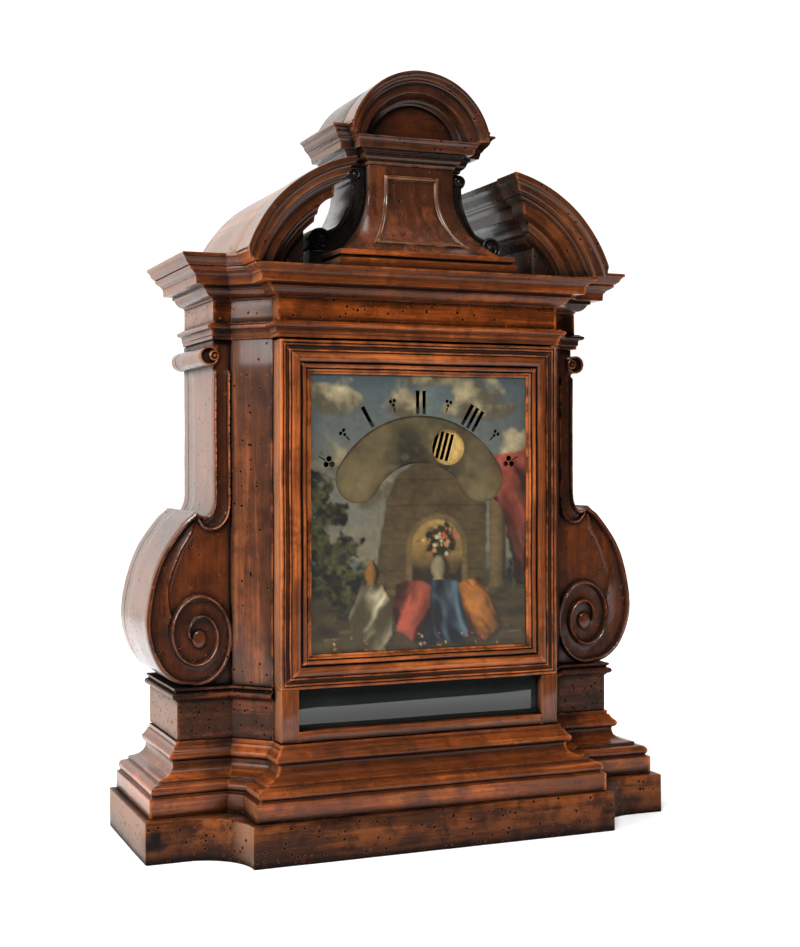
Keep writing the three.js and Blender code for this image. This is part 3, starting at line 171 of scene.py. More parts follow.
floor = bpy.data.objects.new("floor", bpy.data.meshes.new("floor"))
floor_corners = [(-3, -0.68), (-0.7, -0.68), (2.5, -2.25), (3, -2.25), (3, 3), (-3, 3)]
floor.data.from_pydata([(*corner, 0) for corner in floor_corners], [], [range(len(floor_corners))])
scene.collection.objects.link(floor)
# The floor glows, faintly near the clock and more further off: painted light that keeps the far floor white
# and lets the clock's shadow show.
paper, place, shader = blank("pale_floor")
span = place.distance((0, 0, 0))
plug(shader, Base_Color=(0.84, 0.84, 0.84), Roughness=0.9, Emission_Strength=1.0,
     Emission_Color=span.over(0.5, 1.3).mix((0.2, 0.2, 0.2), (0.9, 0.9, 0.9)))
floor.data.materials.append(paper)

# Plinth: a thick walnut board with hollowed front corners, the most knocked piece of the clock.
# Its arrises are worn round and dented, and old worm has opened in its front.
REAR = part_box("plinth")[1].y * 1000


def hand(points):
    """The small unevenness of handwork, three waves that are the same for pieces that touch."""
    x, f, z = points.T
    shift = np.zeros_like(points)
    for k, (size, amount) in enumerate([(170, 0.28), (61, 0.13), (23, 0.06)]):
        w = 2 * math.pi / size
        shift[:, 0] += amount * np.sin(w * (0.31 * x + 0.8 * z + 0.52 * f) + 1.3 * k)
        shift[:, 1] += amount * np.sin(w * (0.7 * x - 0.64 * z + 0.3 * f) + 2.1 * k + 1)
        shift[:, 2] += amount * np.sin(w * (0.9 * x + 0.2 * z - 0.39 * f) + 0.7 * k + 2) * 0.6
    return points + shift


def piece(name, body, finish, parts, nodes=(), wave=True, smooth=38):
    """One object from parts of (points, faces, grain), in millimetres from the rear plane."""
    seed = np.random.default_rng(sum(map(ord, name)))
    start, points, faces, grain = 0, [], [], []
    for p, f, g in parts:
        p = np.asarray(p, float)
        corners = [(face[0], face[i], face[i + 1]) for face in f for i in range(1, len(face) - 1)]
        a, b, c = (p[list(ids)] for ids in zip(*corners))
        volume = np.einsum("ij,ij->i", a, np.cross(b, c)).sum()
        turn = -1 if volume > 0 else 1
        faces += [tuple(start + i for i in face[::turn]) for face in f]
        points.append(p)
        grain.append(np.asarray(g, float) + seed.uniform(-900, 900, 3))
        start += len(p)
    points, grain = np.vstack(points), np.vstack(grain)
    if wave:
        points = hand(points)
    place = np.column_stack([points[:, 0], REAR - points[:, 1], points[:, 2]]) / 1000
    mesh = bpy.data.meshes.new(name)
    mesh.from_pydata(place.tolist(), [], faces)
    mesh.attributes.new("grain", "FLOAT_VECTOR", "POINT").data.foreach_set(
        "vector", (grain / 1000).astype(np.float32).ravel())
    mesh.shade_smooth()
    mesh.set_sharp_from_angle(angle=math.radians(smooth))
    mesh.materials.append(finish)
    made = bpy.data.objects.new(name, mesh)
    scene.collection.objects.link(made)
    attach(made, body)
    if nodes:
        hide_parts(*nodes)
    return made


def area(loop):
    x, y = np.asarray(loop).T
    return 0.5 * (x * np.roll(y, -1) - y * np.roll(x, -1)).sum()


def soften(loop, radius=1.0, steps=3):
    """A closed outline with its corners rounded off."""
    out, n = [], len(loop)
    pts = np.asarray(loop, float)
    if not radius:
        return pts
    for i in range(n):
        b = pts[i]
        u, v = pts[i - 1] - b, pts[(i + 1) % n] - b
        lu, lv = np.hypot(*u), np.hypot(*v)
        if lu < 1e-6 or lv < 1e-6:
            continue
        turn = math.pi - math.acos(max(-1, min(1, u @ v / lu / lv)))
        if turn < math.radians(24):
            out.append(b)
            continue
        r = min(radius, 0.42 * lu, 0.42 * lv)
        s, e = b + u / lu * r, b + v / lv * r
        out += [(1 - t) ** 2 * s + 2 * t * (1 - t) * b + t * t * e for t in np.linspace(0, 1, steps + 1)]
    return np.array(out)


def dense(loop, step, closed=True):
    """The same line with points no further apart than step."""
    pts = np.asarray(loop, float)
    out = []
    last = len(pts) if closed else len(pts) - 1
    for i in range(last):
        a, b = pts[i], pts[(i + 1) % len(pts)]
        n = max(1, int(np.hypot(*(b - a)) / step))
        out += [a + (b - a) * k / n for k in range(n)]
    if not closed:
        out.append(pts[-1])
    return np.array(out)


def offset(loop, distance):
    """A closed outline moved inwards."""
    pts = np.asarray(loop, float)
    sign = 1 if area(pts) > 0 else -1
    edge = np.roll(pts, -1, 0) - pts
    length = np.maximum(np.hypot(*edge.T), 1e-9)[:, None]
    normal = sign * np.column_stack([-edge[:, 1], edge[:, 0]]) / length
    before = np.roll(normal, 1, 0)
    k = np.maximum(1 + (normal * before).sum(1), 0.35)[:, None]
    return pts + distance * (normal + before) / k


def inside(points, loop):
    """Which points lie in an outline."""
    p, corners = np.asarray(points), np.asarray(loop)
    hit = np.zeros(len(p), bool)
    for (ax, ay), (bx, by) in zip(corners, np.roll(corners, -1, 0)):
        if ay == by:
            continue
        hit ^= ((ay > p[:, 1]) != (by > p[:, 1])) & (
            p[:, 0] < (bx - ax) * (p[:, 1] - ay) / (by - ay) + ax)
    return hit


def fill(loops, more=()):
    """Triangles that fill the first outline less the others, through any further points."""
    points = np.vstack([*loops, *([more] if len(more) else [])])
    edges, start = [], 0
    for loop in loops:
        n = len(loop)
        edges += [(start + i, start + (i + 1) % n) for i in range(n)]
        start += n
    found = delaunay_2d_cdt([tuple(p) for p in points], edges, [], 0, 1e-7)
    where, faces = np.array([tuple(v) for v in found[0]]), np.array(found[2])
    middle = where[faces].mean(1)
    keep = inside(middle, loops[0])
    for hole in loops[1:]:
        keep &= ~inside(middle, hole)
    back = [ids[0] if ids else int(np.hypot(*(points - at).T).argmin())
            for ids, at in zip(found[3], where)]
    ends = [tuple(back[i] for i in face) for face in faces[keep]]
    return [face for face in ends if len(set(face)) == 3]


def prism(outline, low, high, across, arris=1.2, corner=1.2, step=14, holes=(), grain=0, steps=3):
    """A board with rounded arrises. across turns (a, b, level) into (x, forward, z)."""
    loops = [dense(soften(loop, corner), step) for loop in (outline, *holes)]
    bow = [(1 - math.cos(t), 1 - math.sin(t)) for t in np.linspace(0, math.pi / 2, steps + 1)]
    ends = [(low + arris * c, arris * s) for c, s in bow]
    middle = [(low + (high - low) * k / n, 0) for n in [max(1, int((high - low) / 40))]
              for k in range(1, n)]
    rows = ends + middle + [(low + high - level, inset) for level, inset in ends[::-1]]
    points, faces, start = [], [], 0
    caps = [[], []]
    for number, loop in enumerate(loops):
        n = len(loop)
        for level, inset in rows:
            ring = offset(loop, inset if number == 0 else -inset) if inset else loop
            points += [across(a, b, level) for a, b in ring]
        for r in range(len(rows) - 1):
            for i in range(n):
                j = (i + 1) % n
                q = start + r * n
                quad = (q + i, q + j, q + n + j, q + n + i)
                faces.append(quad if (area(loop) > 0) == (number == 0) else quad[::-1])
        for cap, r in zip(caps, (0, len(rows) - 1)):
            cap.append(list(range(start + r * n, start + (r + 1) * n)))
        start += n * len(rows)
    for cap, flip in zip(caps, (-1, 1)):
        flat = [offset(loop, arris if k == 0 else -arris) for k, loop in enumerate(loops)]
        ids = [i for loop in cap for i in loop]
        faces += [tuple(ids[i] for i in face[::flip]) for face in fill(flat)]
    points = np.array(points, float)
    order = [grain, (grain + 1) % 3, (grain + 2) % 3]
    return points, faces, points[:, order]


def in_plan(a, b, level):
    return a, b, level


def mirror(points):
    return [(-a, b) for a, b in points][::-1]


def walnut(name, pale, middle, dark, worm=0.0, gloss=0.26, stain=0.3, figure=1.0, wax=0.42, mottle=0.3,
           split=0.0, side_light=0.5, sheen=0.2, dirt_and_shade_lines=(), bare=False):
    """Old walnut: figure and pores along the grain, stains, dirt and painted shade in the hollows and
    between parts, painted shade in deep recesses, worn arrises with a painted highlight, painted light
    and sheen on the sides that face left, and wax.

    The list of dark upright lines holds dirt and painted shade in inner corners and in the gap beside
    the door, on both sides of the clock, each given as its x, how far forward it is, where it starts to
    thin out, where it ends, all in millimetres, and how dark it is.
    """
    made, place, shader = blank(name)
    grain = place.node("ShaderNodeAttribute", {"attribute_name": "grain"}, out=1)
    bands = grain.stretch(2.2, 26, 26).noise(1.0, 4, 0.6, 0.8)
    streaks = grain.stretch(4, 120, 120).noise(1.0, 5, 0.65, 0.4)
    fibre = grain.stretch(26, 900, 900).noise(1.0, 2, 0.6)
    pores = grain.stretch(70, 1500, 1500).noise(1.0, 1, 0.5)
    cloud = place.noise(7, 4, 0.6, 0.6)
    patches = place.noise(40, 5, 0.66)
    tone = bands * 0.4 * figure + streaks * 0.26 * figure + cloud * 0.34 + patches * (0.3 * mottle)
    tone = tone.over(0.17 + 0.24 * figure, 0.36 + 0.34 * figure)
    colour = tone.mix(dark, middle)
    colour = (tone * 0.8 + streaks * 0.2).over(0.5, 0.98).mix(colour, pale)
    colour = (pores.over(0.56, 0.68) * 0.5).mix(colour, dark)
    colour = (fibre.over(0.3, 0.7) * 0.2).mix(colour, pale)
    colour = ((1 - patches.over(0.36, 0.5)) * mottle).mix(colour, dark)

    # Stains first; painted shade in recesses joins this same darkening further down.
    grime_and_shade = place.noise(11, 4, 0.55, 0.5).over(0.52, 0.7) * stain
    plan = place.node("ShaderNodeVectorMath", {"operation": "ABSOLUTE"}, {0: place}).stretch(1, 1, 0)
    # Dark upright lines by the gap beside the door and in inner corners: painted shade, with dirt.
    for x, forward, near, far, amount in dirt_and_shade_lines:
        gap = plan.distance((x / 1000, abs(REAR - forward) / 1000, 0)) + patches * (far / 1500)
        grime_and_shade = grime_and_shade.math("MAXIMUM", (1 - gap.over(near / 1000, far / 750)) * amount)
    # Sides that face the left light go towards a pale grey-pink: painted light and sheen on those sides.
    facing_light = place.node("ShaderNodeNewGeometry", out=1).towards((-1, 0, 0)).over(0.75, 0.98)
    side_sheen = tuple(grey + 0.5 * v for grey, v in zip((0.2, 0.13, 0.085), pale))
    colour = (facing_light * (side_light - grime_and_shade * 0.3)).mix(colour, side_sheen)

    # The wider reach darkens recesses and what stands under or beside other parts: painted shade.
    deep_shade, hollow = (place.node("ShaderNodeAmbientOcclusion", {"samples": 6}, {"Distance": reach}, out=1)
                   for reach in (0.06, 0.012))
    arris = place.node("ShaderNodeAmbientOcclusion", {"samples": 6, "inside": True, "only_local": True},
                       {"Distance": 0.0032}, out=1)
    # The dark tone that stains, dirt and painted shade all darken towards.
    dark_tone = tuple(0.3 * v + 0.0006 for v in dark)
    grime_and_shade = (1 - facing_light * min(0.7, side_light)) * grime_and_shade
    grime_and_shade = grime_and_shade.math("MAXIMUM", (1 - deep_shade.over(0.34, 0.95)) * (0.35 if bare else 0.92))
    # Hollows of mouldings and joints between parts darken: dirt, and painted shade.
    dirt_and_shade = (1 - hollow.over(0.5, 0.97)) * (patches * 0.8 + 0.8)
    if split:
        cracks = grain.stretch(7, 170, 170).noise(1.0, 2, 0.5, 0.3).over(0.7, 0.73)
        dirt_and_shade = dirt_and_shade.math("MAXIMUM", cracks * cloud.over(0.46, 0.56) * split)
    # Arrises lighten: wear, and a painted highlight along the edges.
    wear_and_highlight = (1 - arris.over(0.4, 0.8)) * patches.over(0.4, 0.62)
    colour = dirt_and_shade.mix(grime_and_shade.mix(colour, dark_tone), tuple(0.3 * v for v in dark_tone))
    colour = (wear_and_highlight * 0.6).mix(colour, tuple(min(1, 1.35 * v + 0.004) for v in pale))
    bump = fibre * 0.25 + patches * 0.9 + streaks * 0.4
    rough = patches * 0.14 + gloss - 0.05 + dirt_and_shade * 0.25

    if worm:
        cells, pick = (place.node("ShaderNodeTexVoronoi", None, {"Vector": place, "Scale": 108.0}, out=out)
                       for out in (0, 1))
        chance = place.noise(13, 2) * 0.9 + pick.node("ShaderNodeSeparateXYZ", None, {0: pick}) * 0.55
        chance = chance.over(0.9 - worm, 0.94 - worm)
        holes = (1 - cells.over(0.19, 0.25)) * chance
        colour = ((1 - cells.over(0.25, 0.32)) * chance * 0.4).mix(colour, pale)
        colour = holes.mix(colour, (0.003, 0.0015, 0.001))
        bump = bump - holes * 9
        dirt_and_shade = dirt_and_shade.math("MAXIMUM", holes)
    if worm > 0.4:
        pinholes = place.node("ShaderNodeTexVoronoi", None, {"Vector": place, "Scale": 300.0})
        pinholes = (1 - pinholes.over(0.2, 0.34)) * place.noise(24, 3).over(0.5, 0.58)
        colour = pinholes.mix(colour, (0.004, 0.002, 0.001))
        bump = bump - pinholes * 5
    polish = 0.0 if bare else (1 - dirt_and_shade.over(0.1, 0.9)) * (wax * (1.25 - 0.5 * patches))
    plug(shader, Base_Color=colour, Roughness=rough, IOR=1.5, Specular_IOR_Level=sheen,
         Coat_Weight=polish, Coat_Roughness=0.12, Normal=bump.relief(0.4, 0.0005))
    return made


worn_walnut = walnut("worn_walnut", (0.19, 0.052, 0.012), (0.065, 0.018, 0.005), (0.009, 0.004, 0.003),
                     worm=0.22, gloss=0.36, stain=1.0, wax=0.08, mottle=0.5, side_light=0.7, sheen=0.07)
hollow_corner = [(-335.8 + 70.2 * math.sin(a), 232.7 + 70.2 * (1 - math.cos(a)))
                 for a in np.linspace(0, math.pi / 2, 15)]
half = [(-389, 0), (-389, 232.7), *hollow_corner, (-265.6, 306.8)]
piece("plinth_board", "case", worn_walnut,
      [prism([*half, *mirror(half)], 0, 56, in_plan, arris=2.2, corner=2.5, grain=0)], ["plinth"])

# Base moulding: one profile planed on walnut strips, a band, a torus, a hollow and an ovolo. The
# strips meet at mitres on every corner of the plan and are glued to pine blocks behind.
warm_walnut = walnut("warm_walnut", (0.42, 0.1, 0.018), (0.19, 0.042, 0.008), (0.028, 0.009, 0.004),
                     wax=0.36, side_light=0.35, sheen=0.12, dirt_and_shade_lines=[(266, 170, 12, 46, 0.9)])


def arc(cx, cy, r, start, end, steps):
    return [(cx + r * math.cos(a), cy + r * math.sin(a))
            for a in np.radians(np.linspace(start, end, steps + 1))]


def curve(points, step=1.0):
    """A smooth line through a few points."""
    p = np.asarray(points, float)
    p = np.vstack([2 * p[0] - p[1], p, 2 * p[-1] - p[-2]])
    out = []
    for i in range(1, len(p) - 2):
        a, b, c, d = p[i - 1:i + 3]
        n = max(2, int(np.hypot(*(c - b)) / step))
        for t in np.arange(n) / n:
            out.append(tuple(0.5 * (2 * b + (c - a) * t + (2 * a - 5 * b + 4 * c - d) * t ** 2
                                    + (3 * b - a - 3 * c + d) * t ** 3)))
    return out + [tuple(p[-2])]


def mitre(path, i):
    """The outward shift of a corner of a plan line for one millimetre of projection."""
    def normal(a, b):
        d = np.subtract(b, a)
        return np.array([-d[1], d[0]]) / np.hypot(*d)
    sides = []
    if i > 0:
        sides.append(normal(path[i - 1], path[i]))
    if i < len(path) - 1:
        sides.append(normal(path[i], path[i + 1]))
    if len(sides) == 1:
        return sides[0]
    return (sides[0] + sides[1]) / (1 + sides[0] @ sides[1])


def skin(rows, outline, grain):
    """A closed part through rows of points that all follow one outline, with filled ends."""
    m = len(outline)
    faces = [(k * m + j, k * m + (j + 1) % m, (k + 1) * m + (j + 1) % m, (k + 1) * m + j)
             for k in range(len(rows) - 1) for j in range(m)]
    first, last = (-1, 1) if area(outline) > 0 else (1, -1)
    for face in fill([outline]):
        faces += [face[::first], tuple((len(rows) - 1) * m + v for v in face[::last])]
    return np.concatenate(rows), faces, np.concatenate(grain)


def run(profile, path, first=0, last=None, corner=0.7):
    """Lengths of a moulding along a plan line, one strip to a side, mitred where they meet."""
    section = dense(soften(profile, corner), 6)
    joint, strips = 0.08, []
    for i in range(first, last or len(path) - 1):
        a, b = np.array(path[i], float), np.array(path[i + 1], float)
        along = (b - a) / np.hypot(*(b - a))
        ma, mb = mitre(path, i), mitre(path, i + 1)
        n = max(1, int(np.hypot(*(b - a)) / 14))
        rows, grain = [], []
        for t in np.arange(n + 1) / n:
            at = [(a + p * ma) * (1 - t) + (b + p * mb) * t + joint * (1 - 2 * t) * along
                  for p, _ in section]
            rows.append([(*q, z) for q, (_, z) in zip(at, section)])
            grain.append([((q - a) @ along, p, z) for q, (p, z) in zip(at, section)])
        strips.append(skin(rows, section, grain))
    return strips


def plan_line(side, centre_half, centre_front):
    left = [(-side, 8), (-side, 166), (-253, 166), (-centre_half, 419 - centre_half),
            (-centre_half, centre_front)]
    return left + mirror(left)


base_plan = plan_line(330, 207.3, 247)
profile = [
    (-25, 56.3), (50, 56.3), (50, 80.5), (46.2, 81.7), *arc(40, 89, 7, -52, 80, 9), (33.8, 96.6),
    (33, 97.6), (33, 100.8), (27.4, 101.7),
    *curve([(23.5, 102.3), (16, 104.9), (11, 109.2), (8.7, 113.6), (8, 118)], 1.6),
    (8, 120.8), (9.6, 121.9), *arc(8, 127.5, 6, -60, 66, 8), (7, 136.8), (6, 139.6), (3, 140.7),
    (3, 145.9), (-25, 145.9),
]
piece("base_moulding_strips", "case", warm_walnut, run(profile, base_plan), ["base_moulding"])

# Dados: the low walls of the two wings under the consoles, with a capping bead. The left front is
# riddled with worm, most of all on the strip that cants back to the door.
eaten_walnut = walnut("eaten_walnut", (0.14, 0.04, 0.014), (0.055, 0.017, 0.007), (0.011, 0.005, 0.003),
                      worm=0.46, gloss=0.4, stain=0.75, wax=0.1, mottle=0.5, side_light=0.6,
                      sheen=0.08)
profile = [
    (-16, 146.3), (0, 146.3), (0, 198.8), (1.2, 199.8), (2.8, 200.9), (3.1, 202.2),
    *arc(3.9, 206.4, 4.2, -76, 76, 9), (3.1, 210.7), (2, 211.4), (2, 212.4), (3.4, 213.8), (5, 214.7),
    (5, 217.7), (-16, 217.7),
]
left_wall = [(-330, 0), (-330, 166), (-253, 166), (-208.3, 210.7)]
top_boards = [(-314, 14.3), (-314, 150), (-255, 150), (-255, 14.3)]
for side, wall in (("left", left_wall), ("right", mirror(left_wall))):
    top = top_boards if side == "left" else mirror(top_boards)
    piece(f"dado_wall_{side}", "case", eaten_walnut,
          [*run(profile, wall, corner=0.8), prism(top, 206, 217.7, in_plan)], [f"dado_{side}"])

# Carcase boards that the mouldings hide: sides, floor, and the back frame. They are bare walnut and
# poplar, left from the plane, grey with age and open to the lamp's heat.
bare_board = walnut("bare_board", (0.36, 0.19, 0.095), (0.21, 0.108, 0.052), (0.075, 0.038, 0.02),
                    worm=0.1, gloss=0.62, stain=0.5, split=0.6, side_light=0.0, sheen=0.5, bare=True)


def oblong(wide, tall):
    return [(wide[0], tall[0]), (wide[1], tall[0]), (wide[1], tall[1]), (wide[0], tall[1])]


def board(name, x, forward, z, grain, finish=bare_board, nodes=()):
    return piece(name, "case", finish,
                 [prism(oblong(x, forward), *z, in_plan, 0.9, 1.0, grain=grain, step=30)], nodes)


board("base_back_low", (-304.7, 304.7), (0, 14), (56.3, 162), 0, nodes=["base_back"])
board("base_back_high", (-313.7, 313.7), (0, 14), (146.3, 208), 0)
inner = [(-313.7, 14.3), (-313.7, 149.7), (-246.2, 149.7), (-191.9, 204), (191.9, 204),
         (246.2, 149.7), (313.7, 149.7), (313.7, 14.3)]
piece("floor_of_case", "case", bare_board,
      [prism(inner, 146.3, 158.3, in_plan, 0.8, 0.8, step=60)], ["floor_board"])
for side, s in (("left", -1), ("right", 1)):
    x = sorted((237 * s, 253 * s))
    board(f"side_wall_{side}", x, (18.7, 142.8), (158.6, 689.7), 2, nodes=[f"side_board_{side}"])
    x = sorted((191 * s, 253 * s))
    board(f"rear_stile_{side}", x, (4.4, 18.4), (208.3, 649.7), 2, nodes=[f"back_stile_{side}"])

# Pilaster strips: plain boards on the two canted corners beside the door, with the strip behind
# that the shut door stands against. They have dried out and split along the grain.
strip_walnut = walnut("strip_walnut", (0.2, 0.058, 0.018), (0.1, 0.029, 0.01), (0.02, 0.008, 0.005),
                      worm=0.08, gloss=0.3, stain=0.7, split=1.0, wax=0.3, sheen=0.1,
                      dirt_and_shade_lines=[(208, 211, 1.5, 9, 1), (253, 166, 1.5, 6, 0.8)])
strip = [(-253, 166), (-208.3, 210.7), (-208.3, 203.6), (-194.3, 203.6), (-194.3, 202.1), (-253, 143.4)]
for side in ("left", "right"):
    outline = strip if side == "left" else mirror(strip)
    piece(f"canted_strip_{side}", "case", strip_walnut,
          [prism(outline, 218.3, 689.7, in_plan, 0.7, 0.9, grain=2)], [f"pilaster_{side}"])

# Consoles: a thick S-scroll at each side, glued up across the depth of the case and carved in the
# front: a hollow shaft that ends in a curl, a bulging lip that winds into a spiral, a round eye.
carved_walnut = walnut("carved_walnut", (0.32, 0.075, 0.014), (0.14, 0.03, 0.006), (0.024, 0.008, 0.004),
                       worm=0.05, stain=0.5, figure=0.5, side_light=0.25)
cove = curve([(302, 456), (299.6, 452.6), (296, 450.3), (292, 448.9), (287.6, 449.5), (283.4, 453),
              (280.4, 458.6), (278, 466), (277, 474)], 2)
roll_at, curl_at = (282.5, 667.5), (276, 668)
spiral_at, eye_at, eye_size = (299, 285), (298, 282.2), (10.6, 13.3)
roll = arc(*roll_at, 13.2, -112, 116, 22)
radii = curve([(0, 50.2), (1, 44.6), (2, 43.3), (3, 35.8), (4, 29.4), (5, 26.1), (6, 21.7), (7, 12.6)], 0.5)
spiral = []
for q in np.linspace(0, 7, 150):
    r, a = np.interp(q, *zip(*radii)), math.radians(-90 - 90 * q)
    spiral.append((spiral_at[0] + r * math.cos(a), spiral_at[1] + 1.27 * r * math.sin(a)))
inner_bead = [(255.6, 646), (255.6, 472), *curve([(255.8, 462), (258.4, 449), (266, 437.6), (278, 431.6),
              (289.6, 433.8), (297, 442), (300, 451)], 3)]
outer_arris = [(275.6, 646), (275.6, 476), *curve([(276.4, 466), (279.6, 455.5), (285.4, 447.8),
               (292, 446.8), (298.4, 450.4)], 3)]
ridge_line = curve([(303, 446), (310, 425), (322, 406), (332.5, 382), (339.5, 360), (341.8, 342), (339, 322),
                    (333.6, 306)], 4)


def away(points, line):
    """Distance of each point from an open line."""
    p, stops = np.asarray(points, float), np.asarray(line, float)
    best = np.full(len(p), 1e9)
    for a, b in zip(stops[:-1], stops[1:]):
        d = b - a
        t = np.clip(((p - a) @ d) / max(d @ d, 1e-9), 0, 1)[:, None]
        best = np.minimum(best, np.hypot(*(p - a - t * d).T))
    return best


def rows_beside(line, shifts, step):
    """Points in rows along a line, at each of the given distances to either side."""
    close = dense(line, step, closed=False)
    d = np.gradient(close, axis=0)
    normal = np.column_stack([-d[:, 1], d[:, 0]]) / np.maximum(np.hypot(*d.T), 1e-9)[:, None]
    return np.vstack([close + s * normal for w in shifts for s in {w, -w}])


def rings_round(centre, radii, count, size=(1, 1)):
    """Points in rings about a centre."""
    return np.array([(centre[0] + size[0] * r * math.cos(a), centre[1] + size[1] * r * math.sin(a))
                     for r in radii for a in np.linspace(0, 6.1, count)])


def bead(distance, width, power=2.6):
    u = np.clip(distance / width, 0, 1)
    return (1 - u ** power) ** (1 / power)


def carve(points, rim, lip):
    """How far forward the console's front stands at each point, in its hollows and on its raised lines."""
    p = np.asarray(points, float)
    x, z = p.T
    field = 157.6 + 0 * x
    shaft = inside(p, [(255, 690), (255, 460), *inner_bead[2:], *outer_arris[::-1]]) & (z < 650)
    across = np.clip(away(p, outer_arris) / 20, 0, 1)
    field[shaft] = (158 + 3.2 * (2 * across - 1) ** 2)[shaft]
    trough = inside(p, [*rim, (290, 222), (300, 260), *ridge_line[::-1]])
    d1, d2 = away(p, rim), away(p, ridge_line)
    u = d2 / np.maximum(d1 + d2, 1e-6)
    hollow = 158.4 + 3.4 * (1 - np.clip(u, 0, 1)) ** 2.4 - 1.4 * np.sin(math.pi * np.clip(u, 0, 1))
    field[trough] = hollow[trough]
    wound = (((x - 299) / 42) ** 2 + ((z - 288) / 55) ** 2) < 1
    turns = away(p, spiral)
    field = np.where(wound, 157.2 + 1.6 * np.exp(-turns / 3), field)
    drop = np.clip(away(p, ridge_line) / 5, 0, 1)
    field = np.where(~trough & ~wound & ~shaft & (z < 440) & (drop < 1),
                     field + 3.9 * (1 - drop) ** 1.6, field)
    far = np.hypot(x - spiral_at[0], (z - spiral_at[1]) / 1.27)
    width = np.clip(1.6 + far / 26, 1.9, 3.3)
    up = 7.9 * bead(away(p, lip), width)
    up = np.maximum(up, 5.4 * bead(away(p, inner_bead), 2.4))
    up = np.maximum(up, 7.4 * bead(away(p, outer_arris), 2.2))
    eye = np.hypot(*((p - eye_at) / eye_size).T)
    up = np.maximum(up, 6.6 * bead(eye, 1, 3.4))
    curl, roll_edge = np.hypot(*(p - curl_at).T), np.hypot(*(p - roll_at).T)
    up = np.maximum(up, 7.2 * bead(curl, 8, 4) - 2.6 * (curl < 5) * (curl > 2.2))
    up = np.maximum(up, 6.4 * bead(np.abs(roll_edge - 12.2), 1.9))
    return field + up * (z > 219)


for side, s, more in (("left", -1, 0), ("right", 1, 5)):
    bulge = curve([(x + more * (x - 302) / 69, z) for x, z in [
        (302, 456), (309, 449.5), (318, 442), (334.5, 421), (347.5, 401), (358, 376.5), (365.5, 349),
        (370, 322), (371, 299), (367, 276), (359.5, 256), (349, 239), (334, 226), (317.5, 219.4)]], 4)
    console_line = [(253.3, 218.3), (306, 218.3), *bulge[::-1], *cove[1:], (277, 560), (277, 646), *roll,
                    (277, 684.6), (277, 689.7), (253.3, 689.7)]
    rim = offset(np.array(bulge + [(300, 218.3), (300, 456)]), 3.1)[:len(bulge)]
    lip = [*map(tuple, rim[:-1]), *spiral]
    rim_loop = dense(soften(console_line, 0.5), 4)
    inner_loop = offset(rim_loop, 1.1)
    tops = carve(inner_loop, rim, lip)
    level = np.minimum(tops - 0.9, 166)
    glue_joint = ((21.8, 1.1), (22.6, 1.1))
    sides = [(0, 0), (20, 0), (21.2, 0), *glue_joint, (23.8, 0), (60, 0), (90, 0), (120, 0), (150, 0),
             (level, 0), (level + 0.65, 0.35), (np.maximum(tops, level + 0.7), 1.1)]
    n, rings = len(rim_loop), []
    for forward, into in sides:
        ring = offset(rim_loop, into) if into else rim_loop
        rings.append(np.column_stack([ring[:, 0], np.full(n, forward), ring[:, 1]]))
    seeds = np.vstack([
        rows_beside(lip, (0, 0.9, 1.8, 2.5, 3.2, 4.2, 6.5), 2.4),
        rows_beside(inner_bead, (0, 0.8, 1.6, 2.2, 3), 3),
        rows_beside(outer_arris, (0, 0.7, 1.4, 2.0, 2.8), 3),
        rows_beside(ridge_line, (0, 1.5, 3.5, 6), 4),
        rings_round(eye_at, (0, 0.3, 0.6, 0.8, 0.92, 1.0, 1.1), 22, eye_size),
        rings_round(curl_at, (0.3, 2, 2.6, 4.6, 5.2, 6.8, 7.6, 8.3), 20),
        rings_round(roll_at, (9.6, 10.4, 11.2, 12.2), 30),
        [(x, z) for x in np.arange(257, 376, 5.5) for z in np.arange(222, 690, 6.5)],
    ])
    seeds = seeds[inside(seeds, offset(rim_loop, 1.7))]
    _, first = np.unique(np.round(seeds / 0.5), axis=0, return_index=True)
    seeds = seeds[np.sort(first)]
    faces = [(r * n + i, r * n + (i + 1) % n, (r + 1) * n + (i + 1) % n, (r + 1) * n + i)
             for r in range(len(rings) - 1) for i in range(n)]
    last = (len(rings) - 1) * n
    points = np.vstack([*rings, np.column_stack([seeds[:, 0], carve(seeds, rim, lip), seeds[:, 1]])])
    faces += [tuple(last + i for i in face) for face in fill([inner_loop], seeds)]
    faces += [face[::-1] for face in fill([rim_loop])]
    points[:, 0] *= s
    piece(f"console_scroll_{side}", "case", carved_walnut,
          [(points, faces, points[:, [2, 0, 1]])], [f"console_{side}"], smooth=50)

# Entablature: architrave, frieze and cornice go round the head of the case in mitred lengths. The
# cornice stops square round the centre, and only the wings carry the crown moulding on top.
head_plan = plan_line(278.5, 209, 238)
frieze_walnut = walnut("frieze_walnut", (0.44, 0.096, 0.013), (0.18, 0.037, 0.006), (0.026, 0.008, 0.003),
                       worm=0.24, stain=0.45, wax=0.36, sheen=0.1, dirt_and_shade_lines=[(266, 168, 8, 30, 0.95)])
architrave = [
    (-16, 690), (2, 690), (2.2, 694.9), (3.9, 695.8), (4.3, 702.4), (6.4, 703.4), (9.4, 703.9),
    *arc(8.6, 706.9, 2.5, -58, 84, 7), (8.2, 709.9), (6, 710.6), (6, 711.7), (-16, 711.7),
]
piece("architrave_strips", "case", warm_walnut, run(architrave, head_plan), ["architrave"])
piece("frieze_boards", "case", frieze_walnut,
      run([(-16, 712), (0, 712), (0, 742.7), (-16, 742.7)], head_plan), ["frieze"])
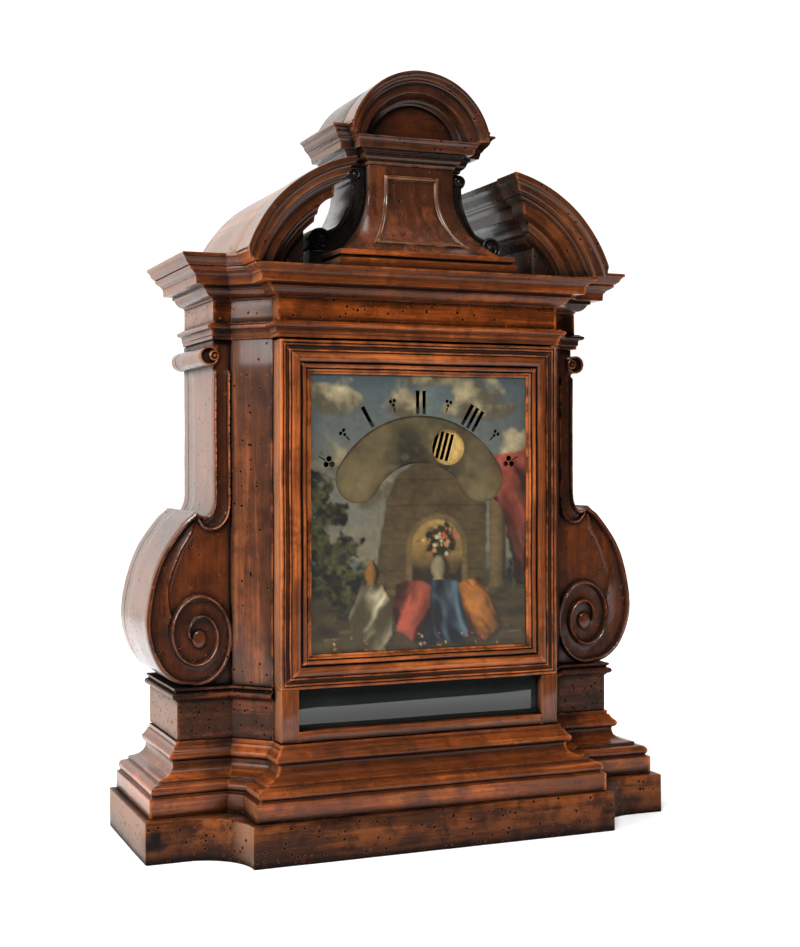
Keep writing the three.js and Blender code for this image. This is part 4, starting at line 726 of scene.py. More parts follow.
cornice = [
    (-16, 743), (1, 743), (1, 745.2), (2.6, 745.8),
    *curve([(3.2, 746), (7.4, 747.2), (10.6, 749.6), (13, 752.6), (14.4, 755.2)], 1.4),
    (15.4, 755.9), (18, 756.3), (18, 760.8), (18.8, 761.1), (30.6, 761.1), (31.2, 761.5),
    (32, 771.3), (32.4, 771.9), (33.5, 772.1),
    *curve([(33.6, 772.8), (34.9, 775), (38, 776.9), (40.6, 778.4), (41.8, 779.8)], 1.2),
    (43, 780.3), (43.5, 781), (43.5, 783.7), (-16, 783.7),
]
piece("cornice_strips", "case", warm_walnut, run(cornice, head_plan), ["cornice"])
crown = [
    (28, 784.3), (44.9, 784.3), (45.2, 785.2), (46.4, 785.8),
    *curve([(46.6, 786.3), (49, 788), (50.2, 790.8), (52.2, 794)], 1.2),
    (53.6, 794.9), (55, 795.4), (55, 799.8), (28, 799.8),
]
for side, first in (("left", 0), ("right", 5)):
    piece(f"crown_strips_{side}", "case", warm_walnut,
          run(crown, head_plan, first, first + 4), [f"crown_{side}"])
inner = [tuple(np.array(p) - 16.3 * mitre(head_plan, i)) for i, p in enumerate(head_plan)]
inner[0], inner[-1] = (inner[0][0], 18.7), (inner[-1][0], 18.7)
piece("deck_of_case", "case", worn_walnut,
      [prism(inner, 772, 783.8, in_plan, 0.8, 0.8, step=60)], ["deck_board"])
board("head_back_low", (-253, 253), (4.4, 18.4), (650, 690.1), 0, nodes=["head_back"])
board("head_back_high", (-262.2, 262.2), (4.4, 18.4), (690.4, 783.8), 0)

# Pediment: each half is a raking moulding cut from thick walnut, mitred at the break to a short
# return that runs back, with a hollow built block behind that carries the bare curved roof.
# The left roof takes a pale walnut and the right roof the dark shaded_walnut: lit and shaded copies of one
# wood, painted light and painted shade. The returns and panels take shaded_walnut as painted shade.
roof_walnut = walnut("roof_walnut", (0.33, 0.125, 0.055), (0.19, 0.066, 0.03), (0.07, 0.026, 0.014),
                     worm=0.06, gloss=0.34)
shaded_walnut = walnut("shaded_walnut", (0.09, 0.036, 0.018), (0.04, 0.017, 0.01),
                       (0.011, 0.007, 0.005), worm=0.12, stain=0.6, wax=0.3, side_light=0)
raking_walnut = walnut("raking_walnut", (0.24, 0.066, 0.018), (0.1, 0.028, 0.008), (0.016, 0.006, 0.003),
                       worm=0.05, stain=0.4, mottle=0.1)


def upright(a, b, level):
    return a, level, b


def arched(section, centre, radius, front, start, stop, steps):
    """Rows and grain of a curved moulding. A section point is (in from the edge, back)."""
    t, d = np.asarray(section, float).T
    first, last = (np.array([end(*p) for p in section]) for end in (start, stop))
    rows, grain = [], []
    for k in range(steps + 1):
        a = first + (last - first) * k / steps
        r = radius - t
        rows.append(np.column_stack([centre[0] + r * np.cos(a), front - d, centre[1] + r * np.sin(a)]))
        grain.append(np.column_stack([radius * a, d, t]))
    return rows, grain


def foot_of(centre, radius, front, deck, crown_inside, crown_lean):
    """Angle at which a curved moulding starts, on the deck or over the crown of the wing."""
    def start(t, d):
        r, limit = radius - t, max(crown_inside, front - d - crown_lean)
        low, high = (math.asin((deck + up - centre[1]) / r) for up in (0.1, 16.1))
        if centre[0] + r * math.cos(low) <= limit:
            return low
        return high if centre[0] + r * math.cos(high) >= limit else math.acos((limit - centre[0]) / r)
    return start


rake = [
    (0, 0.8), (0.8, 0), (7.6, 0.4), (8.4, 1.2), (9, 2),
    *curve([(9.6, 3), (11.6, 5.6), (15, 6.9), (18.6, 7.4), (20.8, 8.9), (22, 11)], 1.3),
    (23.8, 11.8), (24, 14.6), (26.6, 15.3), (27.6, 16.6), (28.2, 19), (29, 22.8), (30, 23.4), (42.4, 24),
    (43, 24.8), (43, 32.4), *curve([(43.6, 33.4), (44.6, 36.6), (47, 39.2), (50, 40.4), (53, 41)], 1.3),
    (54, 42), (54, 44), (59.4, 44.8), (60, 45.6), (60, 55), (0, 55),
]
radius, front, gap, deck = 200, 293, 117, 784.3
section = dense(rake, 5)
for side, s, rise in (("left", -1, 1.5), ("right", 1, -3)):
    centre = (78.4, 730 + rise)
    start = foot_of(centre, radius, front, deck, 236.4, 29.6)

    def stop(t, d, short=0.0):
        return math.acos((gap + d + short - centre[0]) / (radius - t))

    rows, grain = arched(section, centre, radius, front, start, lambda t, d: stop(t, d, 0.1), 26)
    curved = skin(rows, section, grain)
    ends = np.array([(gap + d - 0.1, front - d, centre[1] + (radius - t) * math.sin(stop(t, d)))
                     for t, d in section])
    rows, grain = [], []
    for k in range(5):
        row = ends.copy()
        row[:, 1] += (233 - row[:, 1]) * k / 4
        rows.append(row)
        grain.append(np.column_stack([row[:, 1], section[:, 1], section[:, 0]]))
    back = skin(rows, section, grain)
    curved, back = ([(p * (s, 1, 1), f, g)] for p, f, g in (curved, back))
    piece(f"raking_moulding_{side}", "case", raking_walnut, curved, [f"pediment_moulding_{side}"])
    piece(f"raking_return_{side}", "case", shaded_walnut, back)
    shell, past_gap = radius - 1.5, 40.1
    inner = [(centre[0] + past_gap + d,
              centre[1] + (shell - t) * math.sin(math.acos((past_gap + d) / (shell - t))))
             for t, d in rake[2:-1]]
    top = math.degrees(math.acos(past_gap / shell))
    low = math.degrees(math.asin((800.4 - centre[1]) / shell))
    heel = [(173.5, deck), (236.6, deck), (236.6, 800.4)]
    roof = [*heel, *arc(*centre, shell, low, top, 34), *inner]
    edge = centre[1] + math.sqrt((shell - 1) ** 2 - 95.1 ** 2)
    panel = [*heel, *[p for p in arc(*centre, shell - 1, low, 62, 24) if p[0] > 174.5], (173.5, edge)]
    if s < 0:
        roof, panel = mirror(roof), mirror(panel)
    piece(f"pediment_roof_{side}", "case", roof_walnut if s < 0 else shaded_walnut,
          [prism(roof, 8, 232.7, upright, 0.8, 0.5, step=7, grain=1)], [f"pediment_block_{side}"])
    piece(f"pediment_panel_{side}", "case", shaded_walnut,
          [prism(panel, 232.9, 237.7, upright, 0.4, 0.5, step=8)])

# Crest: a moulded base holds a flared walnut front with a beaded panel. A small dark scroll leans
# on each side, and a cornice with an arch moulding and a plain wormy vault closes the top.
dull_walnut = walnut("dull_walnut", (0.17, 0.046, 0.016), (0.075, 0.021, 0.008), (0.016, 0.007, 0.004),
                     worm=0.07, stain=0.6)
vault_walnut = walnut("vault_walnut", (0.16, 0.1, 0.066), (0.08, 0.048, 0.032), (0.028, 0.018, 0.013),
                      worm=0.34, gloss=0.34, side_light=0)
black_walnut = walnut("black_walnut", (0.04, 0.03, 0.026), (0.02, 0.015, 0.013), (0.008, 0.006, 0.005),
                      worm=0.3, gloss=0.18, side_light=0)
base_line = [(-133, 75), (-133, 265), (133, 265), (133, 75)]
base_profile = [(-20, 784.3), (0, 784.3), (0, 796), (-0.9, 797), (-4.4, 797.4), (-5, 798.2),
                (-5, 800.2), (-4.2, 801), (-2.4, 801.3), (-2, 802), (-2, 808), (-2.7, 808.7), (-20, 808.7)]
block = [(-116, 75), (-116, 248), (116, 248), (116, 75)]
seat = [(-148, 75), (-148, 189.7), (148, 189.7), (148, 75)]
core = [(-64, 75), (-64, 189.6), (64, 189.6), (64, 75)]
piece("crest_base_strips", "case", warm_walnut,
      [*run(base_profile, base_line), prism(block, 784.4, 808.7, in_plan, 0.4, 0.4, step=60)],
      ["crest_base"])
piece("crest_scroll_seat", "case", black_walnut,
      [prism(seat, 784.3, 815, in_plan, 1, 1, step=30), prism(core, 815.3, 936.7, in_plan, 1, 1, grain=2)])


def flare(z):
    """How far the concave front of the crest has spread at a height."""
    return 113.4 - np.sqrt(113.4 ** 2 - np.maximum(0, 905 - z) ** 2)


rows, grain = [], []
for z in [809, *np.linspace(809.8, 905, 22), 918, 930, 936, 936.7]:
    half, front = 64 + flare(z), 200 + flare(z)
    tight = 0.9 if z in (809, 936.7) else 0
    line = [(-half, 190), (-half, front - 1.4), (-half + 0.4, front - 0.4), (-half + 1.4, front)]
    line += [(x, front) for x in np.linspace(-half + 12, half - 12, 9)]
    line = np.array([*line, *[(-x, f) for x, f in line[3::-1]]])
    line = offset(line, tight) if tight else line
    rows.append(np.column_stack([line, np.full(len(line), z)]))
    grain.append(np.column_stack([np.full(len(line), z), line]))
piece("crest_front", "case", dull_walnut, [skin(rows, rows[0][:, :2], grain)], ["crest_body"])

bottom, top = 825, 920
right = [(37.5 + 27.4 * float(flare(z) / flare(825)), z) for z in np.linspace(top, bottom, 15)]
ring = [*right, *mirror(right)]
across_bead = np.array([(-3.6, -1), (-3.6, 0.8), (-2.9, 1.1), (-2.5, 2.2), (-1.5, 3.4), (0, 3.9),
                        (1.5, 3.4), (2.5, 2.2), (2.9, 1.1), (3.6, 0.8), (3.6, -1)])
lengths = []
for side in ([*range(15)], [14, 15], [*range(15, 30)], [29, 0]):
    rows, grain = [], []
    for i in side:
        mx, mz = mitre([ring[i - 1], ring[i], ring[(i + 1) % 30]], 1)
        a, up = across_bead.T
        x, z = ring[i][0] + a * mx, ring[i][1] + a * mz
        rows.append(np.column_stack([x, 200 + flare(z) + up, z]))
        grain.append(np.column_stack([np.full(len(a), sum(ring[i])), a, up]))
    lengths.append(skin(rows, across_bead, grain))
bead_walnut = walnut("bead_walnut", (0.3, 0.13, 0.06), (0.14, 0.05, 0.022), (0.03, 0.012, 0.006), gloss=0.14)
piece("crest_panel_bead", "case", bead_walnut, lengths, smooth=50)


def wound(centre, turns):
    """A raised bead that winds into a volute, from rows of (turns, radius)."""
    path = []
    for q in np.linspace(turns[0][0], turns[-1][0], 46):
        r = np.interp(q, *zip(*turns))
        path.append((centre[0] + r * math.cos(q * 2 * math.pi), centre[1] + r * math.sin(q * 2 * math.pi)))
    return path


def ribbon(path, width, base, height):
    """A rounded strip that stands on a front face and follows a line on it."""
    across = np.array([(-0.5, -0.2), (-0.5, 0.5), (-0.3, 0.88), (0, 1), (0.3, 0.88), (0.5, 0.5), (0.5, -0.2)])
    rows, grain = [], []
    for i, (x, z) in enumerate(path):
        mx, mz = mitre(path, i)
        a, up = (across * (width, height)).T
        rows.append(np.column_stack([x + a * mx, base + up, z + a * mz]))
        grain.append(np.column_stack([np.full(len(a), 2.0 * i), a, up]))
    return skin(rows, across, grain)


def boss(centre, radius, base, height):
    """A round button on a front face."""
    dome = [(1, -0.2), (1, 0.35), (0.9, 0.7), (0.65, 0.92), (0.3, 1), (0.02, 1)]
    ring = np.radians(np.arange(0, 360, 20))
    rows = [np.column_stack([centre[0] + radius * r * np.cos(ring), np.full(18, base + height * up),
                             centre[1] + radius * r * np.sin(ring)]) for r, up in dome]
    outline = np.column_stack([np.cos(ring), np.sin(ring)])
    return skin(rows, outline, [row[:, [2, 0, 1]] for row in rows])


for side, s in (("left", -1), ("right", 1)):
    line = [
        (64.3, 815.3), *arc(131, 831.3, 16, -88, 128, 28),
        *curve([(121.1, 843.9), (118, 844.9), (107, 851), (100, 860), (95, 869), (89.4, 882), (86, 893),
                (84.6, 904), (84, 913)], 3)[1:],
        *arc(80, 924, 10, -62, 88, 14), (64.3, 935),
    ]
    parts = [prism(line, 97, 185, upright, 1.4, 0.8, step=5, grain=2),
             ribbon(wound((131, 831.3), [(-0.25, 13.8), (0.36, 13.5), (0.7, 10.5), (1.1, 7)]), 2.8, 185, 2.6),
             ribbon(wound((80, 924), [(-0.2, 8.3), (0.24, 8.3), (0.6, 6.2), (0.9, 4.6)]), 2, 185, 2.4),
             boss((131, 831.3), 5.4, 185, 3), boss((79.6, 924), 3.6, 185, 3),
             ribbon(curve([(117, 841.5), (105.5, 848.5), (94.6, 861), (87, 877), (83, 893), (81.5, 908)], 3),
                    2.4, 185, 2)]
    parts = [(p * (s, 1, 1), f, g) for p, f, g in parts]
    piece(f"crest_side_scroll_{side}", "case", black_walnut, parts,
          [f"crest_scroll_{side}"], smooth=45)

left = [(-83, 75), (-83, 177), (-64, 177), (-64, 200)]
crest_plan = left + mirror(left)
profile = [
    (-8, 937), (1, 937), (2, 940.6), *curve([(2.8, 941.6), (5.4, 943.2), (8, 946.6), (10, 952.6)], 1.4),
    (12.4, 953.6), (13, 955.4), (14, 955.9), (21.6, 956), (22.2, 956.6), (24, 964.6), (25.6, 965.6),
    *curve([(26, 966.4), (27.4, 969), (29.4, 970.6)], 1.2), (30, 971.7), (-8, 971.7),
]
crown = [
    (16, 972), (31, 972), (31.6, 973), *curve([(32, 973.6), (34, 976.2), (35, 979.6), (37.6, 982.6)], 1.2),
    (39, 983), (40, 983.6), (40, 986.8), (16, 986.8),
]
fills = [[(-82.9, 75), (-82.9, 176.9), (82.9, 176.9), (82.9, 75)],
         [(-63.9, 176), (-63.9, 199.9), (63.9, 199.9), (63.9, 176)]]
piece("crest_cornice_strips", "case", dull_walnut,
      [*run(profile, crest_plan), *run(crown, crest_plan, 0, 3), *run(crown, crest_plan, 4, 7),
       *[prism(fill_in, 937, 971.9, in_plan, 0.4, 0.4, step=40) for fill_in in fills]], ["crest_cornice"])

arch_profile = [
    (0, 0.7), (0.7, 0), (3.6, 0.3), (4.2, 1), *curve([(4.8, 1.8), (7.6, 3.2), (10.6, 4.4), (13, 7.8)], 1.3),
    (14.3, 8.6), (14.5, 12.6), (15.8, 13.3), (27.2, 14.8), (28, 15.6), (29, 19.6), (29.6, 23.4),
    *curve([(30.2, 24.6), (32, 28.6), (35.4, 32), (40, 34)], 1.3), (41, 35), (41, 40), (0, 40),
]
section = dense(arch_profile, 5)
centre, radius, front, deck = (0, 956), 107, 240, 972.3
start = foot_of(centre, radius, front, deck, 79.4, 136.6)
rows, grain = arched(section, centre, radius, front, start, lambda t, d: math.pi - start(t, d), 44)
piece("crest_arch_moulding", "case", dull_walnut, [skin(rows, section, grain)], ["crest_arch"])
low = math.degrees(math.asin(31.5 / 106.8))
vault = [(-98.6, deck), (98.6, deck), (98.6, 987.5), *arc(*centre, 106.8, low, 180 - low, 56),
         (-98.6, 987.5)]
panel = [(-79.3, deck), (79.3, deck), (79.3, 987.6), *arc(*centre, 106.4, low + 0.2, 179.8 - low, 56),
         (-79.3, 987.6)]
piece("crest_vault_boards", "case", vault_walnut,
      [prism(vault, 75, 192.5, upright, 0.9, 0.5, step=8, grain=1)], ["crest_vault"])
piece("crest_tympanum", "case", carved_walnut,
      [prism(panel, 192.7, 199.7, upright, 0.5, 0.5, step=8, grain=0)])

# Door frame: two stiles and three rails, flat behind, with the lower light glazed. The wide lower
# ends of the stiles come forward flush with the picture moulding above them.
door_walnut = walnut("door_walnut", (0.46, 0.12, 0.026), (0.23, 0.055, 0.012), (0.032, 0.01, 0.005),
                     gloss=0.22, stain=0.35)


def bar(name, x, forward, z, grain, nodes=()):
    return piece(name, "front_door", door_walnut,
                 [prism(oblong(x, forward), *z, in_plan, 0.7, 0.8, grain=grain, step=20)], nodes)


for side, s in (("left", -1), ("right", 1)):
    x = sorted((183 * s, 207.3 * s))
    bar(f"door_stile_long_{side}", x, (204.3, 232.7), (217.3, 687), 2, [f"door_stile_{side}"])
    bar(f"door_stile_foot_{side}", x, (204.3, 243), (147, 217.1), 2)
bar("door_rail_upper", (-182.8, 182.8), (204.3, 232.7), (663, 687), 0, ["door_rail_top"])
bar("door_rail_behind_frame", (-182.8, 182.8), (204.3, 232.7), (217.4, 231.6), 0, ["door_rail_middle"])
bar("door_rail_foot", (-182.8, 182.8), (204.3, 242.6), (147, 160.9), 0, ["door_rail_bottom"])

# Picture moulding: four mitred lengths round the dial, planed with a bead, a hollow, a broad ovolo
# and small reeds down to the sight edge. Wax and handling have left it brighter than the case.
frame_profile = [
    (0, 233), (0, 241.4), (0.6, 242.6), (1.6, 243), (3, 242.8), (3.7, 241.8), (3.9, 240.3), (4.6, 240.1),
    (4.9, 241.3), (5.8, 241.9), (6.9, 241.6), (7.6, 240.4), (8, 238.6),
    *curve([(8.6, 237.9), (10.2, 237.2), (12, 237.5)], 1.2), (12.7, 238.4), (12.9, 240.3), (13.8, 240.9),
    (14.9, 240.5), (15.2, 239.2), (15.8, 239.1),
    *curve([(16.2, 240.2), (18, 242), (21, 243), (24.4, 242.8), (27.4, 241.5), (29.2, 239.6), (29.9, 237.9)],
           1.2), (30.1, 236.6), (30.9, 236.4), (31.2, 238.8),
    *curve([(31.8, 239.8), (33.3, 240.9), (35.2, 241), (36.9, 240)], 1), (37.5, 238.3), (37.7, 236.5),
    (38.5, 236.3), (38.8, 237.9), *curve([(39.3, 238.4), (40.2, 238.5), (41, 237.8)], 0.8), (41.5, 236.2),
    (42.2, 235.4), (44.4, 235.3), (45, 234.8), (45, 233),
]
frame_section = dense(soften(frame_profile, 0.18, 2), 5)
low, high, half = 217.4, 687, 207.3
for side in ("left", "right", "top", "bottom"):
    near, far = (low, high) if side in ("left", "right") else (-half, half)
    rows, grain = [], []
    for t in np.arange(31) / 30:
        row, along = [], []
        for w, f in frame_section:
            start, stop = near + w + 0.1, far - w - 0.1
            at = start + (stop - start) * t
            row.append({"left": (w - half, f, at), "right": (half - w, f, at),
                        "top": (at, f, high - w), "bottom": (at, f, low + w)}[side])
            along.append((at, w, f))
        rows.append(row)
        grain.append(along)
    piece(f"picture_moulding_{side}", "front_door", door_walnut,
          [skin(rows, frame_section, grain)], [f"picture_frame_{side}"])

# Lower light: a pane in the foot of the door, held between two of its rails. It is opaque and near
# black, painted shade for the dark inside of the case, and it mirrors the floor in front of the clock.
black_glass, place, shader = blank("black_glass")
dust = place.noise(22, 4, 0.6)
plug(shader, Base_Color=dust.mix((0.006, 0.008, 0.008), (0.016, 0.02, 0.018)),
     Roughness=dust.over(0.5, 0.9) * 0.12 + 0.03, IOR=1.58)
piece("lower_pane", "front_door", black_glass,
      [prism(oblong((-182.7, 182.7), (161.3, 217.1)), 223, 226, upright, 0.3, 0.3, step=60)],
      ["lower_glass"], wave=False)

# Door pins: two iron pins that the right-hand stile of the door turns on. The lower one is let into
# the base and the upper one into the architrave.
black_iron, place, shader = blank("black_iron")
rust = place.noise(160, 4, 0.6)
plug(shader, Base_Color=rust.over(0.5, 0.75).mix((0.03, 0.028, 0.027), (0.09, 0.035, 0.018)),
     Metallic=1 - rust.over(0.5, 0.75), Roughness=rust * 0.4 + 0.35, Normal=rust.relief(0.3, 0.0004))
for end, height in (("bottom", (136.3, 157)), ("top", (677, 699.7))):
    piece(f"iron_pin_{end}", "front_door", black_iron,
          [prism(arc(203, 229.5, 2, 0, 345, 23), *height, in_plan, 0.6, 0, step=9)],
          [f"door_pin_{end}"], wave=False)


# Dial: a thin copper plate painted in oils, with a kidney-shaped window and the quarter marks and
# numerals cut right through. The picture is a garden with a ruined arch, jars and draped cloths.
# AXIS is the height of the arbor that the hour carrier turns on.
AXIS = 447


def pigment(red, green, blue):
    return np.array([(v / 255) ** 2.2 for v in (red, green, blue)])


def about(at, radius, degrees):
    """The point at a distance and an angle from a centre."""
    a = math.radians(degrees)
    return at[0] + radius * math.cos(a), at[1] + radius * math.sin(a)


def turned_to(shape, degrees):
    """A shape drawn at the top of the ring of numerals, carried round to an angle."""
    a, radius = math.radians(-degrees), 158
    return [(x * math.cos(a) - (radius + y) * math.sin(a),
             AXIS + x * math.sin(a) + (radius + y) * math.cos(a)) for x, y in shape]


def stroke(x):
    half, tall = 2.9, 16.5
    return [(x - half + 0.3, -tall), (x + half - 0.3, -tall), (x + half, tall - 1.2), (x + half + 1.1, tall),
            (x - half - 1.1, tall), (x - half, tall - 1.2)]


def drop():
    leaves = [arc(x, y, r, 0, 333, 13) for x, y, r in ((-2.9, 7, 2.6), (2.9, 7, 2.6), (0, 1.6, 2.4))]
    return [*leaves,
            [(-1.2, -2.4), (0, -1.5), (1.2, -2.4), (1.3, -4), (0.2, -9.4), (-0.6, -9.4), (-1.4, -4)]]


def trefoil():
    leaves = [arc(x, y, 3.9, 0, 336, 14) for x, y in ((-4.5, -0.4), (4.5, -0.4), (0, -8.3))]
    return [*leaves, [(-0.8, 2.4), (0.8, 2.4), (0.5, 14), (-0.5, 14)]]


cuts = [turned_to(stroke(0), -30)]
cuts += [turned_to(stroke(x), 0) for x in (-4.9, 4.9)]
cuts += [turned_to(stroke(x), 30) for x in (-9.2, 0, 9.2)]
cuts += [turned_to(shape, a) for a in (-45, -15, 15, 45) for shape in drop()]
cuts += [turned_to(shape, a) for a in (-61, 61) for shape in trefoil()]
right = 90 - 61
lobes = [about((0, AXIS), 107, a) for a in (right, 180 - right)]
window = [
    *arc(0, AXIS, 140, right, 180 - right, 60), *arc(*lobes[1], 33, 180 - right, 360 - right, 24)[1:],
    *arc(0, AXIS, 74, 180 - right, right, 40)[1:], *arc(*lobes[0], 33, right - 180, right, 24)[1:-1],
]


def thin_plate(outline, holes, back, front, grid):
    """A thin plate with holes, its front filled with a fine grid of points to carry paint."""
    loops = [dense(loop, 4) for loop in (outline, *holes)]
    seeds = np.zeros((0, 2))
    if grid:
        low, high = np.min(outline, 0) + grid * 0.6, np.max(outline, 0) - grid * 0.6
        x, z = np.meshgrid(np.arange(low[0], high[0], grid), np.arange(low[1], high[1], grid))
        seeds = np.column_stack([x.ravel(), z.ravel()])
        keep = inside(seeds, loops[0])
        for hole in loops[1:]:
            near = away(seeds, np.vstack([hole, hole[:1]])) < grid * 0.4
            keep &= ~inside(seeds, hole) & ~near
        seeds = seeds[keep]
    rim = np.vstack(loops)
    n = len(rim)
    points = [*[(a, back, b) for a, b in rim], *[(a, front, b) for a, b in rim],
              *[(a, front, b) for a, b in seeds]]
    faces, start = [], 0
    for number, loop in enumerate(loops):
        m = len(loop)
        ring = [(start + i, start + (i + 1) % m, n + start + (i + 1) % m, n + start + i) for i in range(m)]
        faces += ring if (area(loop) > 0) == (number == 0) else [f[::-1] for f in ring]
        start += m
    faces += [tuple(n + i for i in face) for face in fill(loops, seeds)]
    faces += [face[::-1] for face in fill(loops)]
    points = np.array(points, float)
    return points, faces, points[:, [0, 2, 1]]


def mottle(x, z, size, seed, octaves=4):
    """Soft random variation between 0 and 1."""
    total, weight, scale = np.zeros_like(x), 0.0, 1.0
    for k in range(octaves):
        table = np.random.default_rng(seed + k).random((64, 64))
        u, v = x * scale / size + 31.7, z * scale / size + 17.3
        i, j = np.floor(u).astype(int), np.floor(v).astype(int)
        s, t = u - i, v - j
        s, t = s * s * (3 - 2 * s), t * t * (3 - 2 * t)
        corner = [table[(i + a) % 64, (j + b) % 64] for a in (0, 1) for b in (0, 1)]
        total += (corner[0] * (1 - s) * (1 - t) + corner[1] * (1 - s) * t
                  + corner[2] * s * (1 - t) + corner[3] * s * t) / scale
        weight += 1 / scale
        scale *= 2
    return total / weight


def lay(colours, mask, tint):
    """Paints a colour, or a colour for each point, over what is there."""
    return colours + np.clip(mask, 0, 1)[:, None] * (np.asarray(tint) - colours)


def between(dark, light, share):
    """A colour for each point, dark where its share is 0 and light where it is 1."""
    return dark + (light - dark) * np.clip(share, 0, 1)[:, None]


def within(x, z, outline, edge=2.5):
    """A mask that is 1 inside an outline on the dial and 0 outside, with a soft edge."""
    p = np.column_stack([x, z])
    far = away(p, [*outline, outline[0]])
    return np.clip(0.5 + np.where(inside(p, outline), far, -far) / edge, 0, 1)


def cloth(colours, x, z, outline, light, shade, slope, fold, seed):
    """A hanging cloth with soft uneven folds that run down it at a slope."""
    ragged = 8 * (mottle(x, z, 14, seed + 3) - 0.5)
    colours = lay(colours, 0.7 * within(x + ragged - 5, z + ragged + 4, outline, 9), pigment(20, 17, 12))
    u = x + slope * (z - 300) + 22 * (mottle(x, z, 46, seed) - 0.5)
    folds = mottle(u, z / 5, fold, seed + 1, 3)
    crease = 1 - np.abs(2 * mottle(u + 40, z / 3.5, fold * 0.8, seed + 2, 2) - 1)
    side = mottle(x, z, 50, seed + 5) - 0.5
    tone = np.clip(0.32 + 2.3 * (folds - 0.5) + 0.9 * (crease - 0.7) + side + 0.003 * (z - 320), 0, 1)
    tone = tone * (0.55 + 0.45 * np.clip((mottle(x, z, 34, seed + 6) - 0.3) * 3, 0, 1))
    tint = between(shade, light, tone ** 1.35) + (tone > 0.9)[:, None] * 0.12 * light
    return lay(colours, within(x + ragged, z + ragged, outline, 2.5), tint)


